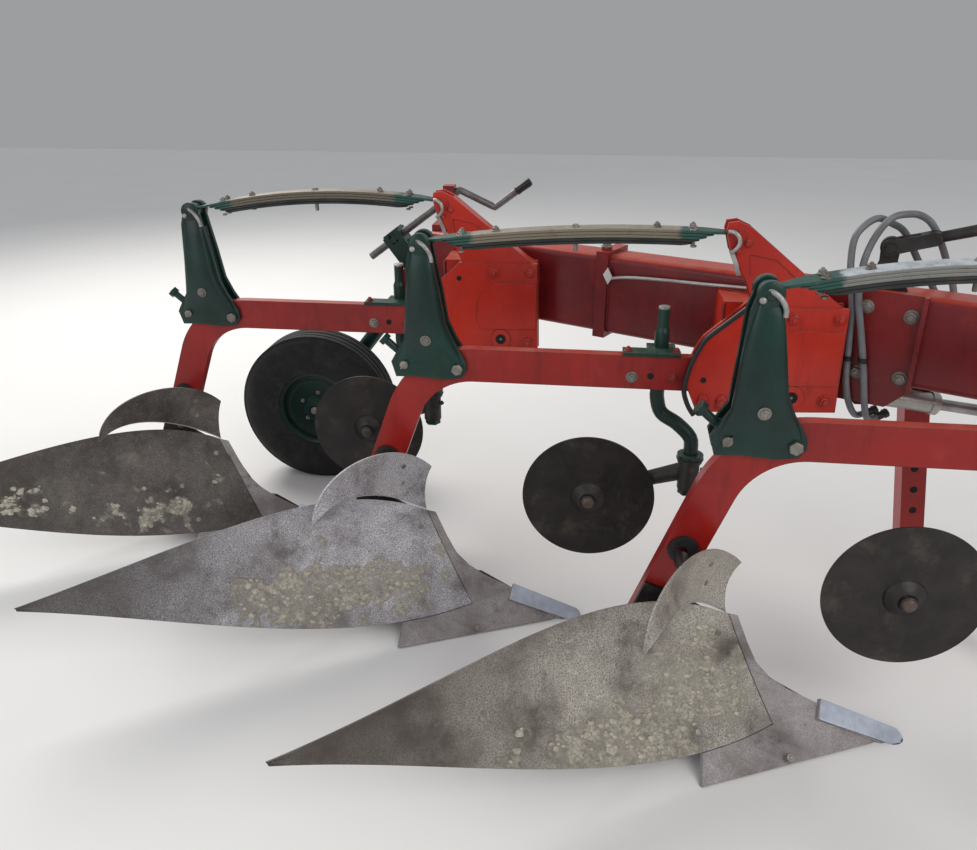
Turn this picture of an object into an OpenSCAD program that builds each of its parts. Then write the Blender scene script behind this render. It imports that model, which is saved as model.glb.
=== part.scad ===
// Three-furrow mounted moldboard plough with leaf-spring reset legs.
// Working frame: +X forward, +Y to the land side (left), +Z up, floor at Z = 0.
// Each body is drawn in its own frame, whose origin is the tip of its share.

/* [Layout] */
// Distance from one body to the next along the line of travel
body_step = 850; // [820:5:880]
// Distance from one body to the next across the line of travel
furrow_w = 425; // [410:5:440]
// Middle of the whole machine ahead of the first share tip
centre_x = -1138; // [-1160:2:-1110]
// Middle of the whole machine to the left of the first share tip
centre_y = 463; // [440:1:490]

/* [Leg] */
// Height of the underside of the beam over the floor
beam_z = 776; // [750:1:800]
// Depth of the beam
beam_h = 98; // [90:1:105]
// Thickness of the leg and beam
leg_t = 36; // [30:1:40]
// Right face of the leg, left of the share tip
leg_y = 16; // [12:1:20]
// Place of the start of the bend, behind the share tip
bend_x = -345; // [-360:1:-330]
// Inside radius of the bend
bend_r = 170; // [150:1:190]
// Angle that the bend turns through
bend_a = 70; // [65:1:75]
// Height of the lower end of the leg
leg_foot_z = 300; // [280:1:320]

/* [Trip pivot] */
// Place of the trip pivot ahead of the share tip
pivot_x = 541; // [530:1:550]
// Height of the trip pivot
pivot_z = 778; // [770:1:790]
// Radius of the trip pivot pin
pivot_r = 20; // [16:0.5:24]
// Radius of the eye of the leg round the pivot pin
pivot_eye_r = 44; // [40:1:48]
// Running clearance of the pins in their bores
pin_play = 0.05; // [0.02:0.01:0.08]
// Radius of the two stop bolts under the beam
stop_r = 13; // [10:1:15]
// Gap left where one piece rests on another
seat_gap = 0.3; // [0.2:0.1:0.5]

/* [Frame] */
// Depth of the diagonal frame tube
tube_h = 250; // [230:1:260]
// Width of the diagonal frame tube
tube_w = 120; // [110:1:130]
// Wall of the diagonal frame tube
tube_wall = 10; // [8:1:14]
// Outer radius of the corners of the diagonal frame tube
tube_round = 20; // [16:1:24]
// Height of the underside of the tube over the beam underside
tube_rise = 46; // [40:1:60]
// Place of the right face of the tube, left of the first share tip
tube_y = 400; // [390:1:410]
// Front end of the tube ahead of the first share tip
tube_front = 665; // [655:5:680]
// Rear end of the tube, behind the first share tip
tube_rear = -1450; // [-1480:5:-1430]

/* [Trip bracket] */
// Thickness of the cheeks of the trip bracket
cheek_t = 16; // [12:1:18]
// Gap between a cheek and the leg
cheek_gap = 2; // [1:0.5:3]
// Radius of the rear edge of the bracket round the trip pivot
block_r = 286; // [280:1:290]
// Thickness of the plates of the tower
tower_t = 10; // [8:1:12]

/* [Mast and spring] */
// Place of the rear spring pin behind the share tip
mast_pin_x = -488; // [-495:1:-475]
// Height of the rear spring pin
mast_pin_z = 1172; // [1160:1:1180]
// Place of the front spring pin ahead of the share tip
tower_pin_x = 352; // [345:1:360]
// Height of the front spring pin
tower_pin_z = 1212; // [1200:1:1220]
// Radius of the spring pins
spring_pin_r = 12; // [10:0.5:14]
// Outer radius of the spring eyes
spring_eye_r = 21; // [19:1:24]
// Width of the spring leaves
leaf_w = 64; // [56:1:68]
// Thickness of one spring leaf
leaf_t = 8; // [7:0.5:9]
// Number of leaves in one spring
leaves = 5; // [4:1:5]
// Width of the eyes of the spring
eye_w = 34; // [30:1:35]
// Thickness of the cheeks of the mast
mast_t = 14; // [12:1:16]
// Radius of the round head of the mast
mast_head_r = 28; // [25:1:30]
// Radius of the round body of the mast at its foot
mast_foot_r = 58; // [50:1:60]

/* [Coulter] */
// Radius of the disc
disc_r = 200; // [180:1:210]
// Thickness of the disc
disc_t = 5; // [4:0.5:6]
// Middle plane of the disc, left of the share tip
disc_y = 46; // [40:1:50]
// Height of the middle of the disc
disc_z = 405; // [395:1:415]
// Radius of the disc axle
axle_r = 12; // [10:0.5:14]
// Radius of the coulter stem
stem_r = 21; // [19:0.5:22]
// Place of the coulter stem ahead of the share tip
stem_x = 186; // [176:1:196]
// Height of the top of the stem
stem_top = 1002; // [990:2:1020]
// How far the swivel stands ahead of the stem
swivel_x = 108; // [100:1:115]
// Radius of the swivel pin
swivel_r = 15; // [12:0.5:17]
// Outer radius of the swivel housing
housing_r = 30; // [26:1:34]
// Underside of the swivel housing
housing_z = 458; // [450:1:470]
// Height of the swivel housing
housing_h = 100; // [90:1:110]

/* [Depth wheel] */
// Radius of the tyre
tyre_r = 310; // [300:1:320]
// Width of the tyre
tyre_w = 160; // [150:1:170]
// Radius of the rim
rim_r = 152; // [145:1:160]
// Middle of the wheel behind the first share tip
wheel_x = -1968; // [-1980:1:-1950]
// Middle plane of the wheel, left of the first share tip
wheel_y = 1330; // [1320:1:1345]
// Radius of the wheel axle
wheel_axle_r = 20; // [18:0.5:24]
// Place of the wheel arm pivot behind the first share tip
arm_x = -1512; // [-1520:1:-1500]
// Height of the wheel arm pivot
arm_z = 890; // [880:1:900]
// Radius of the pivot shaft of the wheel arm
arm_r = 25; // [22:0.5:28]
// Length of the lever from the pivot to the spindle
lever_l = 156; // [150:1:162]
// Slope of the spindle
spindle_a = 36.4; // [34:0.2:39]
// Radius of the spindle
spindle_r = 14; // [12:0.5:16]

/* [Headstock] */
// Place of the cross shaft ahead of the first share tip
cross_x = 850; // [840:1:865]
// Height of the cross shaft
cross_z = 760; // [750:1:775]
// Middle of the headstock, left of the first share tip
head_y = 160; // [150:1:175]
// Distance between the shoulders of the lower link pins
link_gap = 825; // [815:1:835]
// Radius of the lower link pins
link_r = 14; // [13.5:0.1:14.3]
// Length of the lower link pins
link_len = 90; // [85:1:95]
// Radius of the cross shaft
cross_r = 30; // [26:1:34]
// Height of the top link pin over the cross shaft
mast_h = 610; // [600:1:620]
// Radius of the bores of the top link clevis
top_bore_r = 12.85; // [12.7:0.05:13]
// Inner width of the top link clevis
clevis_gap = 57; // [52:1:60]
// Thickness of the headstock plates
head_t = 20; // [16:1:24]

/* [Stand] */
// Place of the rear face of the post 725 over the floor, ahead of the first share tip
post_x = 40; // [36:1:46]
// Height of the underside of the sleeve of the post
sleeve_z = 835; // [830:1:850]
// Width of the square stand post
post_w = 68; // [60:1:72]
// Right face of the stand post, left of the first share tip
post_y = 546; // [545:1:560]
// Lean of the stand post
post_lean = 8.7; // [8:0.1:10]
// Height of the top of the stand post
post_top = 990; // [980:5:1010]

/* [Cylinder] */
// Right-hand middle plane of the cylinder, left of the first share tip
ram_y = 512; // [508:1:514]
// Place of the rear pin of the cylinder behind the first share tip
ram_x = -112; // [-116:1:-108]
// Height of the rear pin of the cylinder
ram_z = 770; // [766:1:774]
// Outer radius of the cylinder barrel
ram_r = 28; // [25:1:30]
// Radius of the cylinder rod
rod_r = 16; // [14:0.5:18]
// Radius of the cylinder pins
ram_pin_r = 12; // [10:0.5:14]
// Play of the eye of the rod on its pin, which the opened linkage uses up
rod_eye_play = 1.1; // [1:0.05:1.2]

/* [Hidden] */
$fn = 48;

red = "firebrick";
green = "darkslategray";
steel = "gray";
dark = "#2b2622";

slope_a = atan(furrow_w / body_step);
leg_mid = leg_y + leg_t / 2;
leg_far = leg_y + leg_t;
tube_z = beam_z + tube_rise;
tube_top = tube_z + tube_h;
near_cheek = leg_y - cheek_gap - cheek_t;
far_cheek = leg_far + cheek_gap;
stop_z = beam_z - seat_gap - stop_r;
stem_y = leg_far + stem_r + 3;
bend_z = beam_z - bend_r;
bend_R = bend_r + beam_h;
// Each coulter is set a little differently along its leg.
coulter_shift = [-58, 2, 56];
// Each spring carries its load a little differently.
spring_bow = [28, 2, 24];

// Points in space

function unit_pos(k) = [-body_step * (k - 1), furrow_w * (k - 1), 0];
function mix(a, b, t) = a + (b - a) * t;
// Point at share t along a chain of points, each stretch straight
function chain(p, t) =
    let(n = len(p) - 1, i = min(n - 1, floor(t * n)))
    mix(p[i], p[i + 1], t * n - i);
// Smooth curve through four points a, b, c, d at t = 0, 1/3, 2/3, 1
function through4(a, b, c, d, t) =
    let(l0 = -4.5 * (t - 1 / 3) * (t - 2 / 3) * (t - 1),
        l1 = 13.5 * t * (t - 2 / 3) * (t - 1),
        l2 = -13.5 * t * (t - 1 / 3) * (t - 1),
        l3 = 4.5 * t * (t - 1 / 3) * (t - 2 / 3))
    a * l0 + b * l1 + c * l2 + d * l3;
function unit(v) = v / norm(v);

// Shapes

module in_row() translate([-centre_x, -centre_y, 0]) children();
module at_unit(k) in_row() translate(unit_pos(k)) children();
// Local frame of the diagonal tube: x along it to the front, y = 0 on its right face
module on_tube(x) in_row()
    translate([x, tube_y - x * tan(slope_a), 0]) rotate([0, 0, -slope_a]) children();
// Outline in the XZ plane, made t thick from y towards the land side
module side_plate(pts, y, t)
    translate([0, y + t, 0]) rotate([90, 0, 0]) linear_extrude(t) polygon(pts);
// Round bar along Y
module bar_y(x, z, r, y, len) translate([x, y, z]) rotate([-90, 0, 0]) cylinder(r = r, h = len);
// Round bar from p to q
module bar(p, q, r) {
    d = q - p;
    translate(p) rotate([0, acos(d[2] / norm(d)), atan2(d[1], d[0])]) cylinder(r = r, h = norm(d));
}
// Round bar from p to q that goes from radius r1 to r2
module taper(p, q, r1, r2) {
    d = q - p;
    translate(p) rotate([0, acos(d[2] / norm(d)), atan2(d[1], d[0])])
        cylinder(r1 = r1, r2 = r2, h = norm(d));
}
// Points of an arc in a plane, from angle a to b in n steps
function arc(c, r, a, b, n) = [for (i = [0 : n]) c + r * [cos(mix(a, b, i / n)), sin(mix(a, b, i / n))]];
// Sheet over a grid of front points, t thick towards v
module sheet(g, v) {
    n = len(g);
    m = len(g[0]);
    pts = concat([for (r = g) for (p = r) p], [for (r = g) for (p = r) p + v]);
    function at(i, j, s) = s * n * m + i * m + j;
    faces = concat(
        [for (i = [0 : n - 2]) for (j = [0 : m - 2]) for (f = [
            [at(i, j, 0), at(i + 1, j, 0), at(i + 1, j + 1, 0)],
            [at(i, j, 0), at(i + 1, j + 1, 0), at(i, j + 1, 0)],
            [at(i, j, 1), at(i + 1, j + 1, 1), at(i + 1, j, 1)],
            [at(i, j, 1), at(i, j + 1, 1), at(i + 1, j + 1, 1)]]) f],
        [for (i = [0 : n - 2]) for (f = [
            [at(i, 0, 0), at(i, 0, 1), at(i + 1, 0, 1)],
            [at(i, 0, 0), at(i + 1, 0, 1), at(i + 1, 0, 0)],
            [at(i, m - 1, 0), at(i + 1, m - 1, 1), at(i, m - 1, 1)],
            [at(i, m - 1, 0), at(i + 1, m - 1, 0), at(i + 1, m - 1, 1)]]) f],
        [for (j = [0 : m - 2]) for (f = [
            [at(0, j, 0), at(0, j + 1, 1), at(0, j, 1)],
            [at(0, j, 0), at(0, j + 1, 0), at(0, j + 1, 1)],
            [at(n - 1, j, 0), at(n - 1, j, 1), at(n - 1, j + 1, 1)],
            [at(n - 1, j, 0), at(n - 1, j + 1, 1), at(n - 1, j + 1, 0)]]) f]);
    polyhedron(pts, faces, convexity = 6);
}

// Moldboard surface

// Back of the board lies this way from its front
board_back = [-0.53, 0.77, -0.35];
board_t = 8;
// Seam with the share, then the free lower edge, out to the tail
function board_low(u) =
    through4([-346, -44, 48], [-715, -262, 80], [-1105, -406, 170], [-1480, -574, 298], u);
function board_high(u) =
    through4([-488, -12, 358], [-800, -105, 409], [-1120, -340, 386], [-1485, -574, 306], u);
function board_bulge(u) = 8 + 130 * u * (1 - u) * (1 - u);
function board(u, v) =
    mix(board_low(u), board_high(u), v) + board_back * board_bulge(u) * 4 * v * (1 - v);
// Way from the back of the board at a point, square to it
function board_square(u, v) =
    unit(cross(board(u + 0.01, v) - board(u - 0.01, v), board(u, v + 0.01) - board(u, v - 0.01)));
// Seam between share, shin and board
seam = 2;
share_t = 10;
share_u = 0.18;
share_low = [[-84, -33, 4], [-541, -236, 4]];
share_high = concat([[-130, 6, 38], [-213, 10, 75]],
    [for (i = [0 : 4]) board(share_u * i / 4, 0) + [seam, 0, -seam]]);
function share_at(t, v) = mix(chain(share_low, t), chain(share_high, t), v);

// Node modules

module leg(k) color(red) at_unit(k) difference() {
    union() {
        // Beam with its round front eye
        side_plate([[bend_x - 1, beam_z], [pivot_x, beam_z], [pivot_x, beam_z + beam_h],
            [bend_x - 1, beam_z + beam_h]], leg_y, leg_t);
        side_plate([[pivot_x, beam_z], [pivot_x + pivot_eye_r, pivot_z],
            [pivot_x + pivot_eye_r, beam_z + beam_h - 25], [pivot_x + 15, beam_z + beam_h],
            [pivot_x, beam_z + beam_h]], leg_y, leg_t);
        bar_y(pivot_x, pivot_z, pivot_eye_r, leg_y, leg_t);
        // Bend
        intersection() {
            difference() {
                bar_y(bend_x, bend_z, bend_R, leg_y, leg_t);
                bar_y(bend_x, bend_z, bend_r, leg_y - 1, leg_t + 2);
            }
            side_plate([[bend_x, bend_z], [bend_x, bend_z + 2 * bend_R],
                [bend_x - 2 * bend_R * cos(90 - bend_a), bend_z + 2 * bend_R],
                [bend_x - 2 * bend_R * sin(bend_a), bend_z + 2 * bend_R * cos(bend_a)]],
                leg_y, leg_t);
        }
        // Straight lower stretch
        side_plate([bend_at(bend_r, -1), bend_at(bend_R, -1), bend_at(bend_R, leg_drop),
            bend_at(bend_r, leg_drop)], leg_y, leg_t);
    }
    bar_y(pivot_x, pivot_z, pivot_r + pin_play, leg_y - 1, leg_t + 2);
}
// Length of the straight stretch below the bend
leg_drop = (bend_z + (bend_r + beam_h / 2) * cos(bend_a) - leg_foot_z) / sin(bend_a);
// Point at radius r from the middle of the bend, then a way l down the leg
function bend_at(r, l) = [bend_x - r * sin(bend_a) - l * cos(bend_a),
    bend_z + r * cos(bend_a) - l * sin(bend_a)];

module mast(k) color(green) at_unit(k) {
    head_x = mast_pin_x;
    foot = [-472, leg_y + 34, 885];
    // Cheeks that clasp the bend and carry the spring pin
    for (y = [leg_y - mast_t, leg_far]) {
        side_plate([[-581, 833], [-568, 788], [-505, 790], [-425, 784], [-378, 790], [-362, 812],
            [-364, 840], [-398, 896], [-420, 945], [-436, 1040], [-452, 1120],
            [head_x + 26, mast_pin_z], [head_x - 26, mast_pin_z], [-526, 1130], [-540, 902],
            [-558, 874]], y, mast_t);
    }
    for (y = [leg_y - mast_t - 6, leg_far]) bar_y(head_x, mast_pin_z, mast_head_r, y, mast_t + 6);
    // Round body that narrows to the head, cast in two halves around the leg
    difference() {
        for (s = [0, 1]) translate([0, s * 2 * leg_mid, 0]) mirror([0, s, 0]) intersection() {
            union() {
                taper(foot, [head_x + 2, leg_y + 14, 1142], mast_foot_r, mast_head_r - 2);
                translate(foot) sphere(mast_foot_r + 1);
            }
            translate([-700, -100, 700]) cube([500, 100 + leg_mid, 700]);
        }
        translate([-700, leg_y, 600]) cube([500, leg_t, 290]);
        translate([-700, leg_mid - eye_w / 2 - 3, mast_pin_z - 52]) cube([500, eye_w + 6, 100]);
    }
    bar_y(head_x, mast_pin_z, spring_pin_r, leg_y - mast_t - 8, leg_t + 2 * mast_t + 16);
    // Adjusting screw with its nut, on a cross bar between the cheeks
    bar_y(-556, 848, 14, leg_y, leg_t);
    bar([-604, leg_mid, 890], [-556, leg_mid, 848], 11);
    translate([-598, leg_mid, 884.7]) rotate([0, -48.8, 0]) cylinder(r = 19, h = 16, $fn = 6);
}

// Place on the arched line of the leaves at share t of the span, h over its middle
function leaf_at(span, bow, t, h) = [span * t, bow * 4 * t * (1 - t) + h];
module spring(k) color("darkolivegreen") at_unit(k) {
    rise = tower_pin_z - mast_pin_z;
    span = norm([tower_pin_x - mast_pin_x, rise]);
    neck = 52;
    bow = spring_bow[k - 1];
    translate([mast_pin_x, 0, mast_pin_z]) rotate([0, -atan2(rise, tower_pin_x - mast_pin_x), 0]) {
        translate([0, leg_mid + leaf_w / 2, 0]) rotate([90, 0, 0]) linear_extrude(leaf_w)
            for (i = [0 : leaves - 1]) {
                a = (neck + 42 * max(0, i - 1)) / span;
                low = leaf_t * (i - 1.5);
                // A leaf dips a little into the one below, so that the pack is one solid.
                dip = i == 0 ? 0 : 0.5;
                polygon(concat(
                    [for (j = [0 : 12]) leaf_at(span, bow, mix(a, 1 - a, j / 12), low - dip)],
                    [for (j = [12 : -1 : 0])
                        leaf_at(span, bow, mix(a + 0.006, 0.994 - a, j / 12), low + leaf_t)]));
            }
        // Narrow ends of the main leaf and the two eyes
        difference() {
            translate([0, leg_mid + eye_w / 2, 0]) rotate([90, 0, 0]) linear_extrude(eye_w) {
                for (t = [0, 1 - (neck + 10) / span]) polygon(concat(
                    [for (j = [0 : 3]) leaf_at(span, bow, t + (neck + 10) / span * j / 3, -leaf_t * 0.4)],
                    [for (j = [3 : -1 : 0])
                        leaf_at(span, bow, t + (neck + 10) / span * j / 3, leaf_t * 0.4)]));
                for (x = [0, span]) translate([x, 0]) circle(spring_eye_r);
            }
            for (x = [0, span]) bar_y(x, 0, spring_pin_r + pin_play, 0, 100);
        }
    }
}

module trip_brackets() color(red) for (k = [1 : 3]) trip_bracket(k);
module trip_bracket(k) at_unit(k) {
    pivot = [pivot_x, pivot_z];
    top_z = 1030;
    outline = concat([[290, 722]], arc(pivot, block_r, 176, 149, 6),
        [[405, top_z], [656, top_z], [664, 738], [400, 726]]);
    for (y = [near_cheek, far_cheek]) side_plate(outline, y, cheek_t);
    // Panel pressed out of the near cheek
    side_plate(concat([[656, 815], [656, 968]], arc([568, 868], 110, 112, 212, 8)), near_cheek - 4, 4);
    // Wedge back to the diagonal tube
    translate([0, 0, tube_z + 10]) linear_extrude(tube_h - 60) polygon([
        [345, far_cheek + cheek_t], [656, far_cheek + cheek_t],
        [656, tube_near(656)], [345, tube_near(345)]]);
    // Cap between the cheeks, with its sloping front
    side_plate([[426, 1000], [426, 1050], [609, 1050], [656, 1022], [656, 1000]],
        near_cheek + cheek_t, far_cheek - near_cheek);
    // Pivot pin, its collars and the two stop bolts
    bar_y(pivot_x, pivot_z, pivot_r, near_cheek - 4, far_cheek + cheek_t - near_cheek + 12);
    for (y = [near_cheek - 6, far_cheek + cheek_t]) difference() {
        bar_y(pivot_x, pivot_z, pivot_r + 13, y, 6);
        bar_y(pivot_x, pivot_z, pivot_r - 6, y - 1, 8);
    }
    for (x = [305, 356])
        bar_y(x, stop_z, stop_r, near_cheek - 8, far_cheek + cheek_t - near_cheek + 16);
    // Tower that holds the front end of the spring, a channel with its back along the slope
    slope = [[640, 1030], [529, 1119], [440, 1190], [385, 1234]];
    for (y = [leg_y - tower_t, leg_far]) difference() {
        side_plate(concat(slope, [[350, 1250], [324, 1246], [320, 1226], [335, 1173], [385, 1094],
            [411, 1030]]), y, tower_t);
        // Pressed recess, on the outer side
        side_plate([[392, 1110], [384, 1166], [456, 1152], [520, 1098], [505, 1085]],
            y < leg_mid ? y - 1 : y + tower_t - 3, 4);
    }
    side_plate(concat(slope, [[380, 1226], [434, 1182], [523, 1111], [626, 1030]]), leg_y - tower_t,
        leg_t + 2 * tower_t);
    bar_y(tower_pin_x, tower_pin_z, spring_pin_r, leg_y - tower_t - 10, leg_t + 2 * tower_t + 20);
    for (y = [leg_y - tower_t - 4, leg_far + tower_t]) bar_y(tower_pin_x, tower_pin_z, 19, y, 4);
}

module frog(k) color(steel) at_unit(k) {
    // Web below the leg, its top flush with the foot of the leg
    toe = bend_at(bend_r, leg_drop + seat_gap);
    heel = bend_at(bend_R, leg_drop + seat_gap);
    side_plate([[-350, 20], [-372, 95], [-425, 185], [-470, 262], toe, heel, [-735, 250],
        [-750, 20]], leg_y, leg_t);
    // Plate beside the leg that takes its two bolts
    side_plate([[-470, 262], [-505, 330], bend_at(bend_r, leg_drop - 110),
        bend_at(bend_R, leg_drop - 110), bend_at(bend_R, leg_drop), heel, [-735, 250],
        [-600, 150]], leg_y - 12, 12);
    // Landside bar
    side_plate([[-170, 8], [-260, 60], [-330, 100], [-840, 100], [-840, 4], [-170, 4]],
        leg_far, 14);
    // Face plate behind the front of the board
    gap = board_back * (board_t + 2 * seat_gap);
    sheet([for (i = [0 : 3]) [for (j = [1 : 5]) board(i / 14, j / 6) + gap]], board_back * 14);
    // Ribs from the web to the face plate
    for (v = [1 / 3, 2 / 3]) {
        y = v < 0.5 ? leg_y + 5 : leg_y - 5;
        a = board(0.03, v);
        b = board(0.2, v);
        sheet([[[a[0], y, a[2]], a + gap + board_back * 9],
            [[b[0], y, b[2]], b + gap + board_back * 9]], [0, 0, 9]);
    }
    // Seat under the share
    seat = share_at(0.62, 0.6) + board_back * share_t;
    bar([-400, leg_y + 10, 40], seat + board_back * 12, 9);
    // Stay to the tail of the board
    foot = board(8 / 14, 0.5) + board_back * board_t;
    way = board_square(8 / 14, 0.5);
    bar(foot + way * 0.9, foot + way * 24, 20);
    bar([-720, leg_y + 6, 200], foot + way * 15, 12);
}

module moldboard(k) color(steel) at_unit(k)
    sheet([for (i = [0 : 14]) [for (j = [0 : 6]) board(i / 14, j / 6)]], board_back * board_t);

module share(k) color(steel) at_unit(k) {
    sheet([for (i = [0 : 6]) [share_at(i / 6, 0), share_at(i / 6, 1)]], board_back * share_t);
    // Shin piece up the front of the board
    outer = [[-213, 10, 75], [-262, 7, 100], [-312, 4, 126], [-362, 1, 163], [-400, -1, 206],
        [-430, -1, 268], [-463, -1, 347]];
    inner = concat([share_high[2]], [for (j = [1 : 6]) board(0, j / 6) + [seam, 0, 0]]);
    sheet([outer, inner], board_back * board_t);
    // Reversible point, which lies on the slope of the share and is worn off level at the floor
    intersection() {
        rotate([36.6, 20.8, 0]) translate([0, 0, -16]) linear_extrude(16) {
            translate([-238, -37]) square([211, 54]);
            translate([-27, -10]) circle(27);
        }
        translate([-400, -100, 0]) cube([500, 200, 200]);
    }
}

module trash_board(k) color(steel) at_unit(k) {
    thick = [-5, 4, 0];
    sheet([for (i = [0 : 8]) [for (v = [0, 0.5, 1]) trash_at(i / 8, v)]], thick);
    // Bracket on the side of the leg, and its arm to the back of the board
    difference() {
        side_plate(arc([-612, 520], 38, 20, 200, 8), leg_y - 8, 8);
        bar_y(-612, 535, 9, leg_y - 20, 30);
    }
    side_plate([[-648, 522], [-576, 522], [-590, 478], [-634, 478]], leg_y - 8, 8);
    arm = trash_at(0.42, 0.45) + thick / 2;
    sheet([[[-624, leg_y - 4, 490], [-624, leg_y - 4, 530]], [arm - [0, 0, 20], arm + [0, 0, 20]]],
        [-10, 0, 0]);
}
// Lower and upper edge of the trash board, and its curved face between them
function trash_low(u) =
    through4([-492, 2, 352], [-568, -112, 448], [-630, -258, 527], [-708, -388, 513], u);
function trash_high(u) =
    through4([-471, 0, 503], [-572, -118, 594], [-654, -280, 612], [-708, -388, 519], u);
function trash_at(u, v) =
    mix(trash_low(u), trash_high(u), v) + [-14, 12, 0] * 4 * v * (1 - v) * (1 - u);

module coulter_stem(k) color(green) at_unit(k) {
    x = stem_x;
    top = beam_z + beam_h;
    swivel = [x + swivel_x, disc_y, housing_z + housing_h];
    // Stem, thinner over the clamp
    translate([x, stem_y, beam_z - 10]) cylinder(r = stem_r, h = beam_h + 66);
    translate([x, stem_y, top + 55]) cylinder(r1 = stem_r, r2 = stem_r - 5, h = 14);
    translate([x, stem_y, top + 68]) cylinder(r = stem_r - 5, h = stem_top - top - 68);
    // Bend forward to the swivel, then its collar, pin and nut
    hose([[x, stem_y, beam_z - 8], [x, stem_y, beam_z - 46], [x + 16, stem_y - 4, beam_z - 92],
        swivel + [-46, 12, 100], swivel + [-6, 2, 62], swivel + [0, 0, 20]], stem_r, [0, 1, 0.2], 4, 16);
    translate(swivel) cylinder(r = stem_r, h = 24);
    translate(swivel) cylinder(r = housing_r + 8, h = 10);
    translate([x + swivel_x, disc_y, housing_z - 15]) cylinder(r = swivel_r, h = housing_h + 16);
    translate([x + swivel_x, disc_y, housing_z - 18]) cylinder(r = swivel_r + 12, h = 16, $fn = 6);
    // Clamp on the far side of the beam, with a plate over it
    translate([x - 100, leg_far, beam_z + 4]) cube([140, 10, beam_h - 4]);
    difference() {
        translate([x, stem_y, beam_z + 12]) cylinder(r = stem_r + 11, h = beam_h - 24);
        translate([x - 100, leg_y, beam_z]) cube([200, leg_t, beam_h]);
    }
    translate([x - 109, leg_y - 6, top]) cube([159, leg_t + 16, 10]);
    translate([x - 40, leg_far, top]) cube([80, stem_y + stem_r + 11 - leg_far, 10]);
}

module coulter_arm(k) color(dark) at_unit(k) {
    x = stem_x + swivel_x;
    hub = [coulter_shift[k - 1], disc_y + 38, disc_z];
    difference() {
        union() {
            translate([x, disc_y, housing_z]) cylinder(r = housing_r, h = housing_h - seat_gap);
            translate([x, disc_y, housing_z + housing_h - 14])
                cylinder(r = housing_r + 6, h = 14 - seat_gap);
            taper([x - 12, disc_y + 26, housing_z + 42], hub + [0, 2, 0], 27, 15);
            bar_y(hub[0], disc_z, 30, disc_y + 23, 30);
        }
        translate([x, disc_y, housing_z - 1]) cylinder(r = swivel_r + pin_play, h = housing_h + 2);
    }
    bar_y(hub[0], disc_z, axle_r, disc_y - 30, 64);
}

module disc(k) color(dark) at_unit(k) {
    x = coulter_shift[k - 1];
    difference() {
        union() {
            bar_y(x, disc_z, disc_r, disc_y - disc_t / 2, disc_t);
            // Hub: a cone with a cap on the near side, a boss on the far side
            translate([x, disc_y, disc_z]) rotate([90, 0, 0]) rotate_extrude() polygon([[0, -18],
                [38, -18], [44, 0], [54, 2], [50, 8], [32, 22], [24, 26], [22, 36], [16, 41], [0, 42]]);
        }
        bar_y(x, disc_z, axle_r + pin_play, disc_y - 32, 90);
    }
}

tube_len = (tube_front - tube_rear) / cos(slope_a);
module frame_tube() color(red) {
    difference() {
        tube_clear();
        on_tube(tube_rear) translate([-1, 0, 0]) tube_bar(tube_len + 2, tube_wall);
    }
    // Sleeve that holds the stand on the far side
    difference() {
        union() {
            stand_place() translate([-8, -8, sleeve_z - 725]) cube([post_w + 16, post_w + 16, 150]);
            in_row() translate([0, 0, 860]) linear_extrude(90) polygon([
                [14, tube_far(14)], [104, tube_far(104)], [104, post_y], [14, post_y]]);
        }
        stand_place() translate([-seat_gap, -seat_gap, -100])
            cube([post_w + 2 * seat_gap, post_w + 2 * seat_gap, 600]);
    }
    // Ears under the tube for the cylinder
    in_row() {
        for (y = [ram_y - 34, ram_y + 20]) side_plate([[ram_x - 30, tube_z], [ram_x + 34, tube_z],
            [ram_x + 25, ram_z - 8], [ram_x + 10, ram_z - 25], [ram_x - 10, ram_z - 25],
            [ram_x - 25, ram_z - 8]], y, 14);
        bar_y(ram_x, ram_z, ram_pin_r, ram_y - 38, 76);
    }
}
// Seat on the right face of the tube at x, a seat gap short of it
function tube_near(x) = tube_y - seat_gap / cos(slope_a) - x * tan(slope_a);
// Far face of the tube at x, measured from the right face of the first beam's share tip
function tube_far(x) = tube_y + tube_w / cos(slope_a) - x * tan(slope_a);
// Whole outside of the tube, its front end cut square to the line of travel
module tube_clear() difference() {
    on_tube(tube_rear) tube_bar(tube_len, 0);
    in_row() translate([tube_front, -500, 0]) cube([500, 1500, 2000]);
}
// Bar with the tube's outline and rounded corners, drawn in from it by d
module tube_bar(len, d) rotate([90, 0, 90]) linear_extrude(len) {
    r = tube_round - d;
    translate([d + r, tube_z + d]) square([tube_w - 2 * d - 2 * r, tube_h - 2 * d]);
    translate([d, tube_z + d + r]) square([tube_w - 2 * d, tube_h - 2 * d - 2 * r]);
    for (y = [d + r, tube_w - d - r]) for (z = [tube_z + d + r, tube_z + tube_h - d - r])
        translate([y, z]) circle(r);
}

module frame_joint() color(red) on_tube(-835) {
    difference() {
        translate([-20, -12, tube_z - 12]) cube([40, tube_w + 24, tube_h + 24]);
        translate([-30, 0, 0]) tube_bar(60, 0);
    }
    // Bolt boss on top
    translate([0, 20, tube_top + 12]) cylinder(r = 17, h = 12);
}

module head_plate() color(red) {
    on_tube(-170) difference() {
        union() {
            translate([0, -16, tube_z - 57]) cube([182, 16 - seat_gap, tube_h + 62]);
            translate([170, -30, tube_z - 30]) cube([12, 20, tube_h + 35]);
        }
        // Corner cut off at the lower right
        translate([182, -40, tube_z - 57]) rotate([0, 45, 0]) translate([-40, 0, -40])
            cube([80, 60, 80]);
    }
    // Clips that hold the hoses
    in_row() translate([-178, 446 + hose_r + seat_gap, 885]) cube([12, 16, 10]);
    in_row() translate([-142, 430 + hose_r + seat_gap, 885]) cube([12, 16, 10]);
}

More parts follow.
